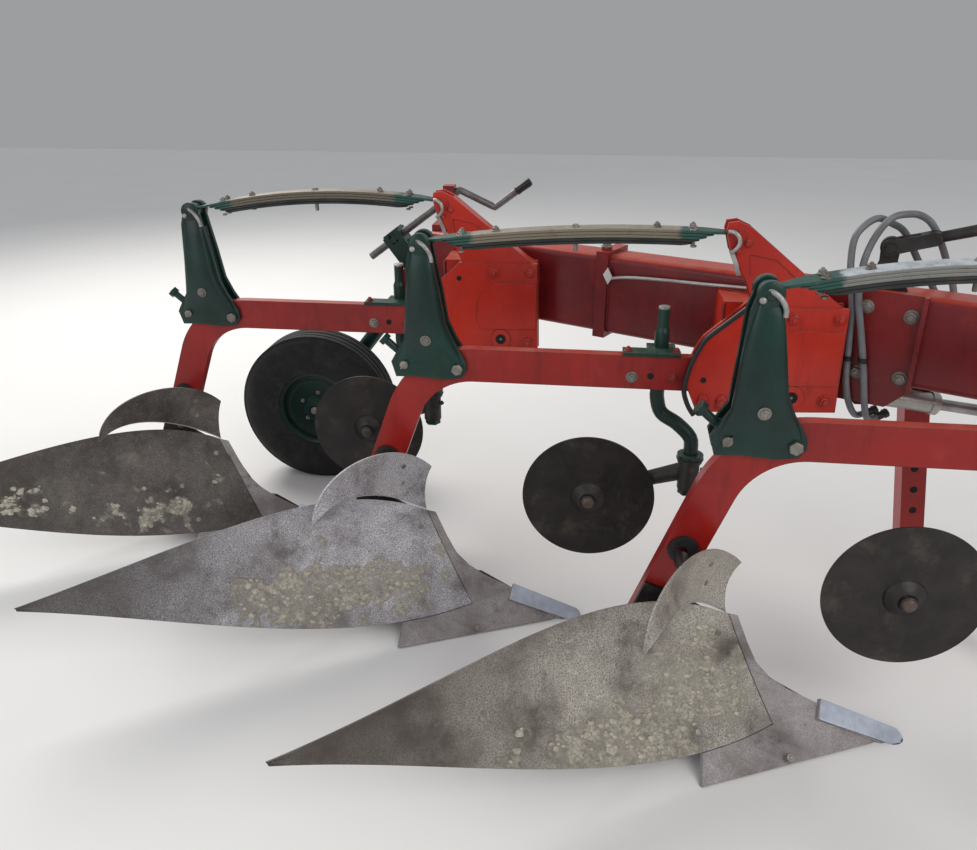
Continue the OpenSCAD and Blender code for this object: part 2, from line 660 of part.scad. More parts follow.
module stand_place() in_row() translate([post_x, post_y, 725]) rotate([0, -post_lean, 0])
    children();

module stand() color(red) difference() {
    union() {
        stand_place() translate([0, 0, -800]) cube([post_w, post_w, 800 + post_top - 725]);
        in_row() translate([post_x + 80, post_y - 30, 0]) cube([170, post_w + 60, 12]);
    }
    in_row() translate([-500, 0, -300]) cube([1200, 1000, 300]);
}

module headstock() color(red) {
    box_z = tube_z + 28;
    box_h = tube_h - 60;
    in_row() difference() {
        union() {
            // Cross box in front of the tube
            translate([tube_front, head_y - 320, box_z]) cube([80, 640, box_h]);
            // Lugs that carry the cross shaft
            for (s = [-1, 1]) side_plate([[tube_front + 80, box_z], [tube_front + 80, box_z + box_h],
                [cross_x - 50, cross_z + 220], [cross_x + 55, cross_z + 50],
                [cross_x + 55, cross_z - 50], [cross_x - 55, cross_z - 50]],
                head_y + s * 115 - head_t / 2, head_t);
            // Mast for the top link
            for (s = [-1, 1]) side_plate([[tube_front + 5, box_z + box_h],
                [tube_front + 95, box_z + box_h], [cross_x - 15, cross_z + mast_h - 45],
                [cross_x - 15, cross_z + mast_h + 40], [cross_x - 90, cross_z + mast_h + 105],
                [cross_x - 160, cross_z + mast_h + 105], [cross_x - 170, cross_z + mast_h + 30]],
                head_y + s * (clevis_gap / 2 + 8) - 8, 16);
            translate([tube_front + 30, head_y - clevis_gap / 2, box_z + box_h])
                cube([50, clevis_gap, 130]);
            // Gusset between the box and the tube
            difference() {
                translate([0, 0, box_z + box_h / 2 - 8]) linear_extrude(16)
                    polygon([[tube_front, head_y + 300], [tube_front, 180], [330, 300], [330, 350]]);
                translate([centre_x, centre_y, 0]) tube_clear();
            }
        }
        translate([tube_front + 10, head_y - 330, box_z + 10]) cube([60, 660, box_h - 20]);
        bar_y(cross_x, cross_z, cross_r + pin_play, head_y - 300, 600);
        bar_y(cross_x - 55, cross_z + mast_h, top_bore_r, head_y - 100, 200);
    }
    // Pin of the brace
    in_row() bar_y(brace_front[0], brace_front[2], 12, head_y + clevis_gap / 2 + 10, 60);
}

// Pins of the brace: on the post of the tube, and beside the left plate of the mast
brace_rear = [-100, 490, tube_top + 112];
brace_front = [cross_x - 132, head_y + clevis_gap / 2 + 44, cross_z + mast_h + 72];
module top_brace() color(dark) in_row() {
    way = brace_front - brace_rear;
    flat = norm([way[0], way[1]]);
    turn = atan2(way[1], way[0]);
    // Lug on top of the tube
    translate([brace_rear[0], brace_rear[1], tube_top]) rotate([0, 0, turn]) {
        side_plate([[-45, 0], [60, 0], [20, 80], [-20, 80]], -10, 20);
        bar_y(0, brace_rear[2] - tube_top, 26, -10, 20);
        side_plate([[-22, 70], [22, 70], [24, 112], [-24, 112]], -10, 20);
        // Pin through the lug and the fork
        bar_y(0, brace_rear[2] - tube_top, 12, -34, 68);
    }
    // Fork, forged on the end of the rod
    translate(brace_rear) rotate([0, -atan2(way[2], flat), turn]) {
        for (y = [-24, 11]) {
            bar_y(0, 0, 22, y, 13);
            side_plate([[0, -19], [70, -17], [98, -14], [98, 14], [70, 17], [0, 19]], y, 13);
        }
        side_plate([[72, -17], [104, -17], [118, -12], [118, 12], [104, 17], [72, 17]], -24, 48);
    }
    difference() {
        union() {
            taper(mix(brace_rear, brace_front, 0.13), brace_front, 14, 20);
            bar_y(brace_front[0], brace_front[2], 26, brace_front[1] - 20, 40);
        }
        bar_y(brace_front[0], brace_front[2], 12 + pin_play, brace_front[1] - 80, 160);
    }
}

// Pin of the lever that the cylinder turns
lever_pin = [cross_x - 85, cross_z - 96];
module cross_shaft() color(steel) in_row() {
    bar_y(cross_x, cross_z, cross_r, head_y - link_gap / 2, link_gap);
    bar_y(cross_x, cross_z, link_r, head_y - link_gap / 2 - link_len, link_gap + 2 * link_len);
    for (y = [ram_y - 32, ram_y + 20]) {
        side_plate([[cross_x - 30, cross_z + 24], [cross_x + 30, cross_z - 24],
            [lever_pin[0] + 16, lever_pin[1] - 22], [lever_pin[0] - 20, lever_pin[1] + 18]], y, 12);
        bar_y(lever_pin[0], lever_pin[1], 26, y, 12);
    }
    bar_y(lever_pin[0], lever_pin[1], ram_pin_r, ram_y - 36, 72);
}

ram_end = [ram_x, ram_y, ram_z];
ram_way = [lever_pin[0] - ram_x, 0, lever_pin[1] - ram_z];
ram_dir = ram_way / norm(ram_way);
module ram_barrel() color("silver") in_row() difference() {
    union() {
        bar(ram_end + ram_dir * 34, ram_end + ram_dir * 226, ram_r);
        bar(ram_end + ram_dir * 204, ram_end + ram_dir * 222, ram_r + 4);
        bar(ram_end + ram_dir * 15, ram_end + ram_dir * 40, 15);
        bar_y(ram_x, ram_z, 24, ram_y - 18, 36);
    }
    bar(ram_end + ram_dir * 80, ram_end + ram_dir * 300, rod_r + pin_play);
    bar_y(ram_x, ram_z, ram_pin_r + pin_play, ram_y - 20, 40);
}
module ram_rod() color("silver") in_row() difference() {
    union() {
        bar(ram_end + ram_dir * 100, ram_end + ram_way - ram_dir * 10, rod_r);
        bar_y(lever_pin[0], lever_pin[1], 24, ram_y - 18, 36);
    }
    bar_y(lever_pin[0], lever_pin[1], ram_pin_r + rod_eye_play, ram_y - 40, 80);
}

module wheel_bracket() color(red) difference() {
    in_row() union() {
        for (y = [1160, 1225]) side_plate([[arm_x + 132, arm_z - 40], [arm_x + 132, tube_z + 158], [arm_x + 12, tube_z + 158],
            [arm_x - 48, arm_z + 30], [arm_x - 48, arm_z - 40]], y, 20);
        bar_y(arm_x, arm_z, arm_r, 1150, 350);
        translate([arm_x + 72, 1150, tube_top]) cube([80, 175, 20]);
        translate([arm_x + 92, 1275, tube_top + 20]) cube([40, 50, 118]);
    }
    tube_clear();
    in_row() bar(spindle_mid, spindle_mid + spindle_dir * 400, spindle_r + pin_play);
}
spindle_mid = [arm_x - lever_l * sin(spindle_a), wheel_y - 30, arm_z + lever_l * cos(spindle_a)];
spindle_dir = [cos(spindle_a), 0, sin(spindle_a)];
module spindle() color(steel) in_row() {
    tip = spindle_mid + spindle_dir * 300;
    bar(spindle_mid - spindle_dir * 126, tip, spindle_r);
    elbow = tip + [130, 0, -60];
    bar(tip, elbow, 10);
    bar(elbow, elbow + spindle_dir * 160, 12);
}
module spindle_nut() color(green) in_row() difference() {
    union() {
        translate(spindle_mid) rotate([0, -spindle_a, 0]) translate([-35, -30, -30])
            cube([70, 60, 60]);
        bar_y(spindle_mid[0], spindle_mid[2], 12, spindle_mid[1] - 50, 100);
    }
    bar(spindle_mid - spindle_dir * 100, spindle_mid + spindle_dir * 100, spindle_r + pin_play);
}

module wheel_arm() color(green) in_row() {
    difference() {
        union() {
            // Slotted lever round the pins of the nut
            for (y = [1250, 1333]) difference() {
                translate([arm_x, y, arm_z]) rotate([0, -spindle_a, 0])
                    translate([-35, 0, 0]) cube([70, 17, lever_l + 24]);
                translate([arm_x, y - 1, arm_z]) rotate([0, -spindle_a, 0])
                    translate([-12.8, 0, lever_l - 14]) cube([25.6, 19, 60]);
            }
            bar_y(arm_x, arm_z, 42, 1250, 245);
            bar([arm_x, 1465, arm_z], [wheel_x, 1465, tyre_r], 30);
            bar_y(wheel_x, tyre_r, 40, 1440, 50);
        }
        bar_y(arm_x, arm_z, arm_r + pin_play, 1200, 400);
    }
    bar_y(wheel_x, tyre_r, wheel_axle_r, wheel_y - tyre_w / 2, tyre_w + 60);
}
module rim() color(green) in_row() difference() {
    bar_y(wheel_x, tyre_r, rim_r - seat_gap, wheel_y - 60, 120);
    bar_y(wheel_x, tyre_r, rim_r - 12, wheel_y - 61, 50);
    bar_y(wheel_x, tyre_r, rim_r - 12, wheel_y + 11, 50);
    bar_y(wheel_x, tyre_r, wheel_axle_r + pin_play, wheel_y - 100, 200);
}
module tyre() color(dark) in_row() translate([wheel_x, wheel_y, tyre_r]) rotate([90, 0, 0])
    rotate_extrude() polygon([[rim_r, -62], [rim_r + 30, -76], [rim_r + 90, -80], [tyre_r - 30, -74],
        [tyre_r, -50], [tyre_r, 50], [tyre_r - 30, 74], [rim_r + 90, 80], [rim_r + 30, 76], [rim_r, 62]]);

// Smooth way through the points of a route, n steps a stretch
function spot(r, i) = r[max(0, min(len(r) - 1, i))];
function glide(a, b, c, d, t) = 0.5 * (2 * b + (c - a) * t + (2 * a - 5 * b + 4 * c - d) * t * t
    + (3 * b - a - 3 * c + d) * t * t * t);
function smooth_way(r, n) = concat(
    [for (i = [0 : len(r) - 2]) for (s = [0 : n - 1])
        glide(spot(r, i - 1), r[i], r[i + 1], spot(r, i + 2), s / n)],
    [r[len(r) - 1]]);
// Round hose along a smooth way, with m sides; side is a direction that the way never takes
module hose(r, rad, side, n = 3, m = 8) {
    w = smooth_way(r, n);
    c = len(w);
    pts = concat([for (i = [0 : c - 1]) let(
        t = unit(w[min(c - 1, i + 1)] - w[max(0, i - 1)]),
        p = unit(cross(side, t)), q = cross(t, p))
        for (k = [0 : m - 1]) w[i] + rad * (p * cos(360 * k / m) + q * sin(360 * k / m))]);
    faces = concat([[for (k = [0 : m - 1]) k], [for (k = [m - 1 : -1 : 0]) (c - 1) * m + k]],
        [for (i = [0 : c - 2]) for (k = [0 : m - 1]) let(a = i * m + k, b = i * m + (k + 1) % m)
            for (f = [[a, a + m, b], [b, a + m, b + m]]) f]);
    polyhedron(pts, faces, convexity = 6);
}
hose_r = 9;
hose_ways = [
    [[-52, 500, 724], [-86, 490, 714], [-122, 462, 722], [-152, 444, 772], [-166, 446, 830],
        [-172, 446, 890], [-178, 445, 960], [-184, 445, 1036], [-203, 445, 1120],
        [-207, 450, 1202], [-187, 460, 1238], [-150, 475, 1258], [-106, 500, 1242],
        [-60, 524, 1214], [-14, 522, 1142], [34, 526, 1078], [58, 522, 1030], [66, 518, 985]],
    [[-22, 500, 716], [-56, 486, 704], [-90, 452, 716], [-112, 424, 764], [-122, 428, 820],
        [-136, 430, 890], [-152, 432, 960], [-176, 430, 1060], [-180, 430, 1140],
        [-170, 435, 1192], [-148, 440, 1240], [-120, 450, 1266], [-86, 460, 1272],
        [-50, 475, 1268], [-12, 492, 1246], [24, 512, 1200], [60, 518, 1134], [84, 512, 1075],
        [96, 500, 1010]]
];
module hoses() color(dark) in_row() for (r = hose_ways) hose(r, hose_r, [0, 1, 0.2]);

frame_tube();
frame_joint();
head_plate();
headstock();
top_brace();
trip_brackets();
wheel_bracket();
spindle();
hoses();
cross_shaft();
ram_barrel();
ram_rod();
stand();
wheel_arm();
spindle_nut();
rim();
tyre();
for (k = [1 : 3]) {
    spring(k);
    leg(k);
    mast(k);
    frog(k);
    moldboard(k);
    share(k);
    trash_board(k);
    coulter_stem(k);
    coulter_arm(k);
    disc(k);
}
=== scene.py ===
# Looks of a mounted three-furrow moldboard plough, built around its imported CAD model.
import math
import random

import bmesh
import bpy
from mathutils import Matrix, Vector, noise


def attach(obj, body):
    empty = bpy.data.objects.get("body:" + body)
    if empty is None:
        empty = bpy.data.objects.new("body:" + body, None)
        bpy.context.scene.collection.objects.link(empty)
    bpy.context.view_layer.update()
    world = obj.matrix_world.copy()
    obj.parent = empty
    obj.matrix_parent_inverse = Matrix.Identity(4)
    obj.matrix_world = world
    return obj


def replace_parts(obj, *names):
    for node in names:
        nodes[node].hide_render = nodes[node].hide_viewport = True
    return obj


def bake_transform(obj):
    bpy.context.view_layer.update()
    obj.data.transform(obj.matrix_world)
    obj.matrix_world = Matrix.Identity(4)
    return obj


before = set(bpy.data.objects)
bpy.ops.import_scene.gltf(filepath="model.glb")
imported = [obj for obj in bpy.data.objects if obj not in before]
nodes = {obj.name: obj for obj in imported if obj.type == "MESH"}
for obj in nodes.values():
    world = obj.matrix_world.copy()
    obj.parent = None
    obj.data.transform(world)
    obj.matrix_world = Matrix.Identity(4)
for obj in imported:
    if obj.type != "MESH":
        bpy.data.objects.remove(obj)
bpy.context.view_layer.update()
random.seed(4)

# Places, in millimetres from the tip of the first share, as in the part's source
CENTRE_X, CENTRE_Y = -1138.0, 463.0
STEP, FURROW = 850.0, 425.0
SLOPE = math.atan(FURROW / STEP)
UNITS = (1, 2, 3)
MAST_PIN, TOWER_PIN = Vector((-488, 34, 1172)), Vector((352, 34, 1212))
PIVOT_X, PIVOT_Z = 541, 778
DISC_X, DISC_Z = (-58, 2, 56), 405
STEM_X, STEM_Y = 294, 46
SHAFT_X, SHAFT_Z, SHAFT_MID = 850.0, 760.0, 160.0
NEAR, FAR, UP = Vector((0, -1, 0)), Vector((0, 1, 0)), Vector((0, 0, 1))


def metres(x, y, z):
    """Place in the shared frame, whose origin is under the middle of the machine."""
    return Vector(((x - CENTRE_X) / 1000, (y - CENTRE_Y) / 1000, z / 1000))


def in_unit(k, x, y, z):
    """The same place on plough body k."""
    return metres(x - STEP * (k - 1), y + FURROW * (k - 1), z)


# Camera, solved from the places that repeat on the three bodies

LENS, SENSOR = 30.82, 36.0
CAMERA_AT = (0.2657, -2.2662, 1.6324)
LOOK_DOWN, LOOK_LEFT = 23.66, 7.057


def add_camera():
    cam = bpy.data.cameras.new("camera")
    cam.lens = LENS
    cam.sensor_width = SENSOR
    cam.sensor_fit = "HORIZONTAL"
    cam.clip_end = 60
    obj = bpy.data.objects.new("camera", cam)
    bpy.context.collection.objects.link(obj)
    obj.location = CAMERA_AT
    obj.rotation_euler = (math.radians(90 - LOOK_DOWN), 0, math.radians(LOOK_LEFT))
    bpy.context.scene.camera = obj


add_camera()

# Materials


def rgba(color):
    return (*color, 1) if isinstance(color, tuple) else color


class Mat:
    """Short hands for the nodes of one material, in metres of the object's own space."""

    def __init__(self, name):
        self.material = bpy.data.materials.new(name)
        self.material.use_nodes = True
        self.tree = self.material.node_tree
        self.tree.nodes.clear()
        out = self.tree.nodes.new("ShaderNodeOutputMaterial")
        self.surface = self.tree.nodes.new("ShaderNodeBsdfPrincipled")
        self.tree.links.new(self.surface.outputs[0], out.inputs[0])
        self.co = self.tree.nodes.new("ShaderNodeTexCoord").outputs["Object"]

    def new(self, kind, inputs, **props):
        """Adds a node with these properties, and fills its inputs with values or links."""
        n = self.tree.nodes.new(kind)
        for key, value in props.items():
            setattr(n, key, value)
        for key, value in inputs.items():
            self.put(n.inputs[key], value)
        return n

    def put(self, socket, value):
        """Links a socket to another, or sets it to a plain value."""
        if isinstance(value, bpy.types.NodeSocket):
            self.tree.links.new(value, socket)
        else:
            socket.default_value = value

    def stretch(self, scale):
        """Coordinates with a scale of their own along each axis."""
        return self.new("ShaderNodeMapping", {0: self.co, "Scale": scale}).outputs[0]

    def noise(self, scale, detail=4, rough=0.6, distort=0.0, co=None):
        """Fractal noise from 0 to 1; scale is in features a metre."""
        n = self.new("ShaderNodeTexNoise", {"Vector": co or self.co, "Scale": scale, "Detail": detail,
                                            "Roughness": rough, "Distortion": distort})
        return n.outputs[0]

    def cells(self, scale, co):
        """Distance to the border of irregular cells."""
        n = self.new("ShaderNodeTexVoronoi", {"Vector": co, "Scale": scale}, feature="DISTANCE_TO_EDGE")
        return n.outputs[0]

    def calc(self, op, a, b, clamp=False):
        return self.new("ShaderNodeMath", {0: a, 1: b}, operation=op, use_clamp=clamp).outputs[0]

    def times(self, a, b):
        return self.calc("MULTIPLY", a, b)

    def band(self, value, low, high):
        """Soft step from 0 at low to 1 at high."""
        n = self.new("ShaderNodeMapRange", {0: value, 1: low, 2: high}, interpolation_type="SMOOTHSTEP")
        return n.outputs[0]

    def patches(self, scale, detail, rough, low, high):
        """Noise as patches with soft borders."""
        return self.band(self.noise(scale, detail, rough), low, high)

    def mix(self, fac, a, b):
        """Colour between a and b."""
        return self.new("ShaderNodeMix", {0: fac, 6: rgba(a), 7: rgba(b)}, data_type="RGBA").outputs[2]

    def blend(self, fac, a, b):
        """Number between a and b."""
        return self.new("ShaderNodeMix", {0: fac, 2: a, 3: b}, data_type="FLOAT").outputs[0]

    def axis(self, i, source):
        """One coordinate of a vector."""
        return self.new("ShaderNodeSeparateXYZ", {0: source}).outputs[i]

    def square(self):
        """Direction square to the face."""
        return self.new("ShaderNodeNewGeometry", {}).outputs["Normal"]

    def up(self):
        """How far the face looks up, from -1 to 1."""
        return self.axis(2, self.square())

    def rounded(self, radius):
        """The same direction, rounded at the edges."""
        return self.new("ShaderNodeBevel", {0: radius}, samples=4).outputs[0]

    def edges(self, radius):
        """Share of edge at a point, from the difference between the two."""
        dot = self.new("ShaderNodeVectorMath", {0: self.rounded(radius), 1: self.square()},
                       operation="DOT_PRODUCT")
        return self.calc("SUBTRACT", 1.0, dot.outputs["Value"], clamp=True)

    def relief(self, height, strength, depth, bevel=0.0):
        """Bump, over edges that are rounded by bevel."""
        inputs = {"Strength": strength, "Distance": depth, "Height": height}
        if bevel:
            inputs["Normal"] = self.rounded(bevel)
        self.put(self.surface.inputs["Normal"], self.new("ShaderNodeBump", inputs).outputs[0])

    def finish(self, color, rough, metal=0.0):
        for key, value in (("Base Color", rgba(color)), ("Roughness", rough), ("Metallic", metal)):
            self.put(self.surface.inputs[key], value)
        return self.material


DUST = (0.34, 0.27, 0.20)


def paint(name, base, deep, top, under, wear, dust, chip=0.64):
    """Worn machine paint: faded patches, edge wear, chips, grime; top is its lighter colour on upward faces,
    painted light from above.
    """
    m = Mat(name)
    color = m.mix(m.patches(2.6, 5, 0.6, 0.35, 0.68), deep, base)
    # Upward faces turn towards the top colour: painted light falling on the tops
    color = m.mix(m.times(m.band(m.up(), 0.35, 0.9), 0.8), color, top)
    color = m.mix(m.times(m.patches(9, 6, 0.7, 0.48, 0.8), 0.3), color, top)
    # Grime in streaks that run down
    streak = m.noise(1.0, 5, 0.7, 0.3, m.stretch((30, 30, 4)))
    color = m.mix(m.times(m.band(streak, 0.5, 0.78), 0.5), color, tuple(c * 0.3 for c in base))
    spots = m.patches(48, 6, 0.7, 0.6, 0.72)
    color = m.mix(m.times(spots, 0.35), color, tuple(c * 0.35 + 0.01 for c in base))
    # Chips down to the metal, most of them along edges
    chips = m.calc("ADD", m.noise(70, 5, 0.65), m.times(m.edges(0.005), 2.4 * wear))
    bare = m.band(chips, chip + 0.06, chip + 0.12)
    color = m.mix(bare, color, m.mix(m.noise(160, 3), under, tuple(c * 0.4 for c in under)))
    settled = m.times(m.band(m.up(), 0.55, 0.98), m.patches(14, 6, 0.7, 0.38, 0.75))
    film = m.times(settled, dust)
    speck = m.times(m.patches(260, 3, 0.7, 0.6, 0.76), 0.3 * dust)
    film = m.calc("ADD", film, speck, clamp=True)
    color = m.mix(film, color, DUST)
    rough = m.blend(film, m.blend(bare, 0.33, 0.7), 0.85)
    m.relief(m.calc("SUBTRACT", m.noise(34, 4), bare), 0.25, 0.0014, 0.003)
    m.surface.inputs["Specular IOR Level"].default_value = 0.38
    return m.finish(color, rough)


RUST = (0.10, 0.055, 0.04)
# The third colour of each paint is its top colour, painted light on upward faces
RED = paint("beam_red", (0.32, 0.012, 0.009), (0.22, 0.009, 0.008), (0.45, 0.060, 0.040), RUST, 0.4, 0.22)
BLOCK = paint("block_red", (0.52, 0.026, 0.011), (0.38, 0.016, 0.009), (0.56, 0.060, 0.035), RUST, 0.45, 0.3)
# Tube red is a darker copy of the red paint as painted shade on the frame tube and its parts; its orange top
# colour is painted light
SHADED_TUBE_RED = paint("shaded_tube_red", (0.215, 0.014, 0.016), (0.135, 0.009, 0.012), (0.50, 0.045, 0.018), RUST, 0.5, 0.3)
GREEN = paint("green_paint", (0.005, 0.040, 0.029), (0.003, 0.017, 0.014), (0.014, 0.066, 0.049),
              (0.085, 0.065, 0.05), 0.35, 0.3, 0.68)
DAMP = (0.052, 0.040, 0.033)
TAIL_BROWN = (0.058, 0.047, 0.041)


def board_steel(name, pale, dark, net_color, clay, net_share=0.9):
    """Board steel under a fine crackle of dried soil; the mesh says where soil is caked."""
    m = Mat(name)
    base = m.mix(m.patches(3.0, 6, 0.65, 0.34, 0.68), dark, pale)
    # Crackle: the borders of two sizes of cells, on coordinates that wander a little
    wave = m.new("ShaderNodeTexNoise", {"Vector": m.co, "Scale": 60}).outputs["Color"]
    small = m.new("ShaderNodeVectorMath", {0: wave, "Scale": 0.008}, operation="SCALE").outputs[0]
    bent = m.new("ShaderNodeVectorMath", {0: m.co, 1: small}, operation="ADD").outputs[0]
    net = m.calc("SUBTRACT", 1.0, m.band(m.cells(150, bent), 0.02, 0.17))
    fine = m.calc("SUBTRACT", 1.0, m.band(m.cells(290, bent), 0.02, 0.2))
    net = m.calc("MAXIMUM", net, m.times(fine, 0.75))
    net = m.times(net, m.patches(6, 5, 0.6, 0.26, 0.62))
    color = m.mix(m.times(net, net_share), base, net_color)
    grain = m.patches(420, 4, 0.8, 0.42, 0.66)
    color = m.mix(m.times(grain, 0.28), color, dark)
    damp = m.patches(7.5, 6, 0.7, 0.56, 0.70)
    color = m.mix(m.times(damp, 0.55), color, DAMP)
    # Caked soil where the mesh says, broken up by noise
    cake = m.new("ShaderNodeAttribute", {}, attribute_name="soil").outputs["Fac"]
    ragged = m.times(m.calc("SUBTRACT", m.noise(45, 10, 0.85), 0.5), 1.8)
    body = m.calc("ADD", cake, ragged)
    thin = m.blend(m.patches(20, 10, 0.8, 0.42, 0.57), 0.25, 1.0)
    thick = m.times(m.band(body, 0.2, 0.7), thin)
    veil = m.calc("MAXIMUM", m.band(body, -0.05, 0.5), m.patches(5.5, 7, 0.7, 0.52, 0.72))
    lump = m.noise(110, 9, 0.85)
    soil = m.mix(m.band(lump, 0.36, 0.62), tuple(c * 0.38 for c in clay), clay)
    color = m.mix(m.times(veil, 0.4), color, tuple(c * 0.62 for c in clay))
    color = m.mix(m.times(thick, 0.92), color, soil)
    # Dark foot of the tail
    tail = m.new("ShaderNodeAttribute", {}, attribute_name="tail").outputs["Fac"]
    color = m.mix(m.times(tail, 0.8), color, TAIL_BROWN)
    cover = m.calc("MAXIMUM", thick, m.times(veil, 0.6))
    metal = m.blend(cover, 0.30, 0.0)
    rough = m.blend(cover, m.blend(m.noise(25, 5), 0.40, 0.66), 0.95)
    rise = m.calc("ADD", m.times(thick, m.calc("ADD", lump, 0.5)), m.times(net, 0.14))
    m.relief(m.calc("ADD", rise, m.times(m.noise(16, 4), 0.3)), 0.65, 0.004, 0.002)
    return m.finish(color, rough, metal)


CLAY = (0.60, 0.55, 0.45)
BOARDS = (
    board_steel("board_steel_1", (0.215, 0.180, 0.150), (0.090, 0.073, 0.060), (0.60, 0.57, 0.51), CLAY),
    board_steel("board_steel_2", (0.235, 0.215, 0.225), (0.115, 0.098, 0.102), (0.74, 0.73, 0.77), CLAY),
    board_steel("board_steel_3", (0.082, 0.064, 0.055), (0.032, 0.026, 0.023), (0.24, 0.22, 0.205), CLAY,
                0.6),
)


def dry_soil():
    m = Mat("dry_soil")
    color = m.mix(m.patches(90, 7, 0.75, 0.3, 0.7), tuple(c * 0.45 for c in CLAY), CLAY)
    m.relief(m.noise(200, 6, 0.8), 0.6, 0.002)
    return m.finish(color, 0.95)


CLOD = dry_soil()
SHIN = board_steel("shin_steel", (0.32, 0.29, 0.29), (0.16, 0.135, 0.130), (0.60, 0.57, 0.56),
                   (0.26, 0.20, 0.15), 0.5)
RUST_SPOT = (0.16, 0.075, 0.04)
DIRT = (0.33, 0.27, 0.19)


def steel(name, color, deep, rough, metal, rust, soil):
    """Plain steel with rust spots and dirt; rust and soil are shares from 0 to 1."""
    m = Mat(name)
    base = m.mix(m.patches(12, 5, 0.65, 0.3, 0.7), color, deep)
    spots = m.patches(38, 6, 0.7, 0.60 - 0.1 * rust, 0.72)
    rusty = m.times(spots, rust)
    base = m.mix(rusty, base, RUST_SPOT)
    dirt = m.times(m.patches(9, 6, 0.7, 0.5, 0.72), soil)
    base = m.mix(dirt, base, DIRT)
    m.relief(m.noise(120, 4), 0.2, 0.001, 0.002)
    dull = m.blend(m.calc("MAXIMUM", spots, dirt), rough, 0.85)
    return m.finish(base, dull, m.blend(m.calc("MAXIMUM", rusty, dirt), metal, 0.0))


DISC = steel("disc_steel", (0.026, 0.020, 0.018), (0.010, 0.008, 0.008), 0.45, 0.2, 0.25, 0.12)
DARK = steel("dark_steel", (0.050, 0.046, 0.044), (0.022, 0.020, 0.020), 0.5, 0.6, 0.4, 0.08)
BARE = steel("bare_steel", (0.46, 0.46, 0.45), (0.26, 0.25, 0.24), 0.42, 0.85, 0.3, 0.0)
BOLT = steel("bolt_steel", (0.34, 0.32, 0.29), (0.15, 0.13, 0.11), 0.5, 0.7, 0.55, 0.05)
POINT = steel("worn_point", (0.60, 0.66, 0.76), (0.40, 0.43, 0.50), 0.36, 0.6, 0.12, 0.08)
ROD = steel("rod_steel", (0.55, 0.54, 0.51), (0.40, 0.39, 0.36), 0.38, 0.7, 0.2, 0.0)
LEAF_GREEN, LEAF_GREEN_DEEP = (0.016, 0.085, 0.062), (0.008, 0.045, 0.036)
LEAF_RUST = (0.115, 0.075, 0.05)


def leaf_steel(name, wear_and_sheen, side, ends):
    """Spring leaves: green at the ends, lighter on top from wear and painted highlight; ends are the row's x
    where the green stops.
    """
    m = Mat(name)
    n = m.noise(9, 7, 0.75)
    x = m.axis(0, m.co)
    green = m.mix(m.noise(30, 5), LEAF_GREEN, LEAF_GREEN_DEEP)
    inner = m.times(m.band(x, ends[0] - 0.05, ends[0] + 0.07),
                   m.calc("SUBTRACT", 1.0, m.band(x, ends[1] - 0.07, ends[1] + 0.05)))
    keep = m.band(m.calc("ADD", m.times(n, 0.7), m.times(inner, 0.55)), 0.52, 0.66)
    color = m.mix(keep, green, side)
    # Upward faces take the lighter colour: worn metal, and on the first spring a pale bluish painted
    # highlight
    top = m.times(m.band(m.up(), 0.6, 0.95), keep)
    color = m.mix(top, color, m.mix(m.patches(24, 6, 0.7, 0.3, 0.85), wear_and_sheen, side))
    rust = m.patches(26, 7, 0.75, 0.54, 0.68)
    color = m.mix(m.times(rust, 0.55), color, LEAF_RUST)
    m.relief(m.noise(110, 5), 0.3, 0.0015, 0.002)
    return m.finish(color, m.blend(n, 0.36, 0.62), m.times(keep, 0.3))


def spring_ends(k):
    """Row's x, in metres, where the green of spring k stops at its rear and at its front."""
    rear = in_unit(k, *MAST_PIN).x
    return rear + 0.14, rear + 0.70


# The first spring's pale bluish top colour is a painted highlight; on the other two the top colour is worn
# metal
LEAVES = (
    leaf_steel("leaf_steel_1", (0.60, 0.66, 0.70), (0.20, 0.20, 0.18), spring_ends(1)),
    leaf_steel("leaf_steel_2", (0.34, 0.30, 0.23), (0.20, 0.17, 0.125), spring_ends(2)),
    leaf_steel("leaf_steel_3", (0.26, 0.23, 0.17), (0.14, 0.12, 0.09), spring_ends(3)),
)
# Near-black steel for the two lowest leaves: painted shade under the pack
LEAF_LOW_SHADE = steel("low_leaf_shade", (0.030, 0.036, 0.032), (0.014, 0.016, 0.015), 0.5, 0.3, 0.3, 0.0)
RUBBER_DUST = (0.20, 0.17, 0.14)


def rubber(name, color, rough, dust):
    """Rubber with pale patches and a film of dust."""
    m = Mat(name)
    base = m.mix(m.band(m.noise(8, 5), 0.4, 0.7), color, tuple(v * 1.7 + 0.004 for v in color))
    film = m.times(m.patches(22, 6, 0.7, 0.45, 0.75), dust)
    m.relief(m.noise(200, 3), 0.2, 0.0008)
    return m.finish(m.mix(film, base, RUBBER_DUST), rough)


TYRE = rubber("tyre_rubber", (0.007, 0.007, 0.008), 0.75, 0.1)
HOSE = rubber("hose_rubber", (0.115, 0.120, 0.130), 0.5, 0.25)
BLACK = rubber("cable_rubber", (0.006, 0.006, 0.007), 0.4, 0.05)
# Flat near-black discs over the holes: painted shade inside them
HOLE_SHADE = rubber("hole_shade", (0.006, 0.005, 0.005), 0.9, 0.0)
HUB = steel("hub_steel", (0.13, 0.095, 0.078), (0.055, 0.042, 0.036), 0.45, 0.4, 0.5, 0.1)
WORN = steel("dull_steel", (0.20, 0.20, 0.205), (0.11, 0.105, 0.10), 0.45, 0.6, 0.35, 0.0)
CLIP = steel("clip_steel", (0.50, 0.51, 0.49), (0.24, 0.23, 0.21), 0.4, 0.6, 0.35, 0.0)
TAG = steel("blank_tag", (0.72, 0.72, 0.70), (0.60, 0.59, 0.57), 0.5, 0.0, 0.05, 0.0)

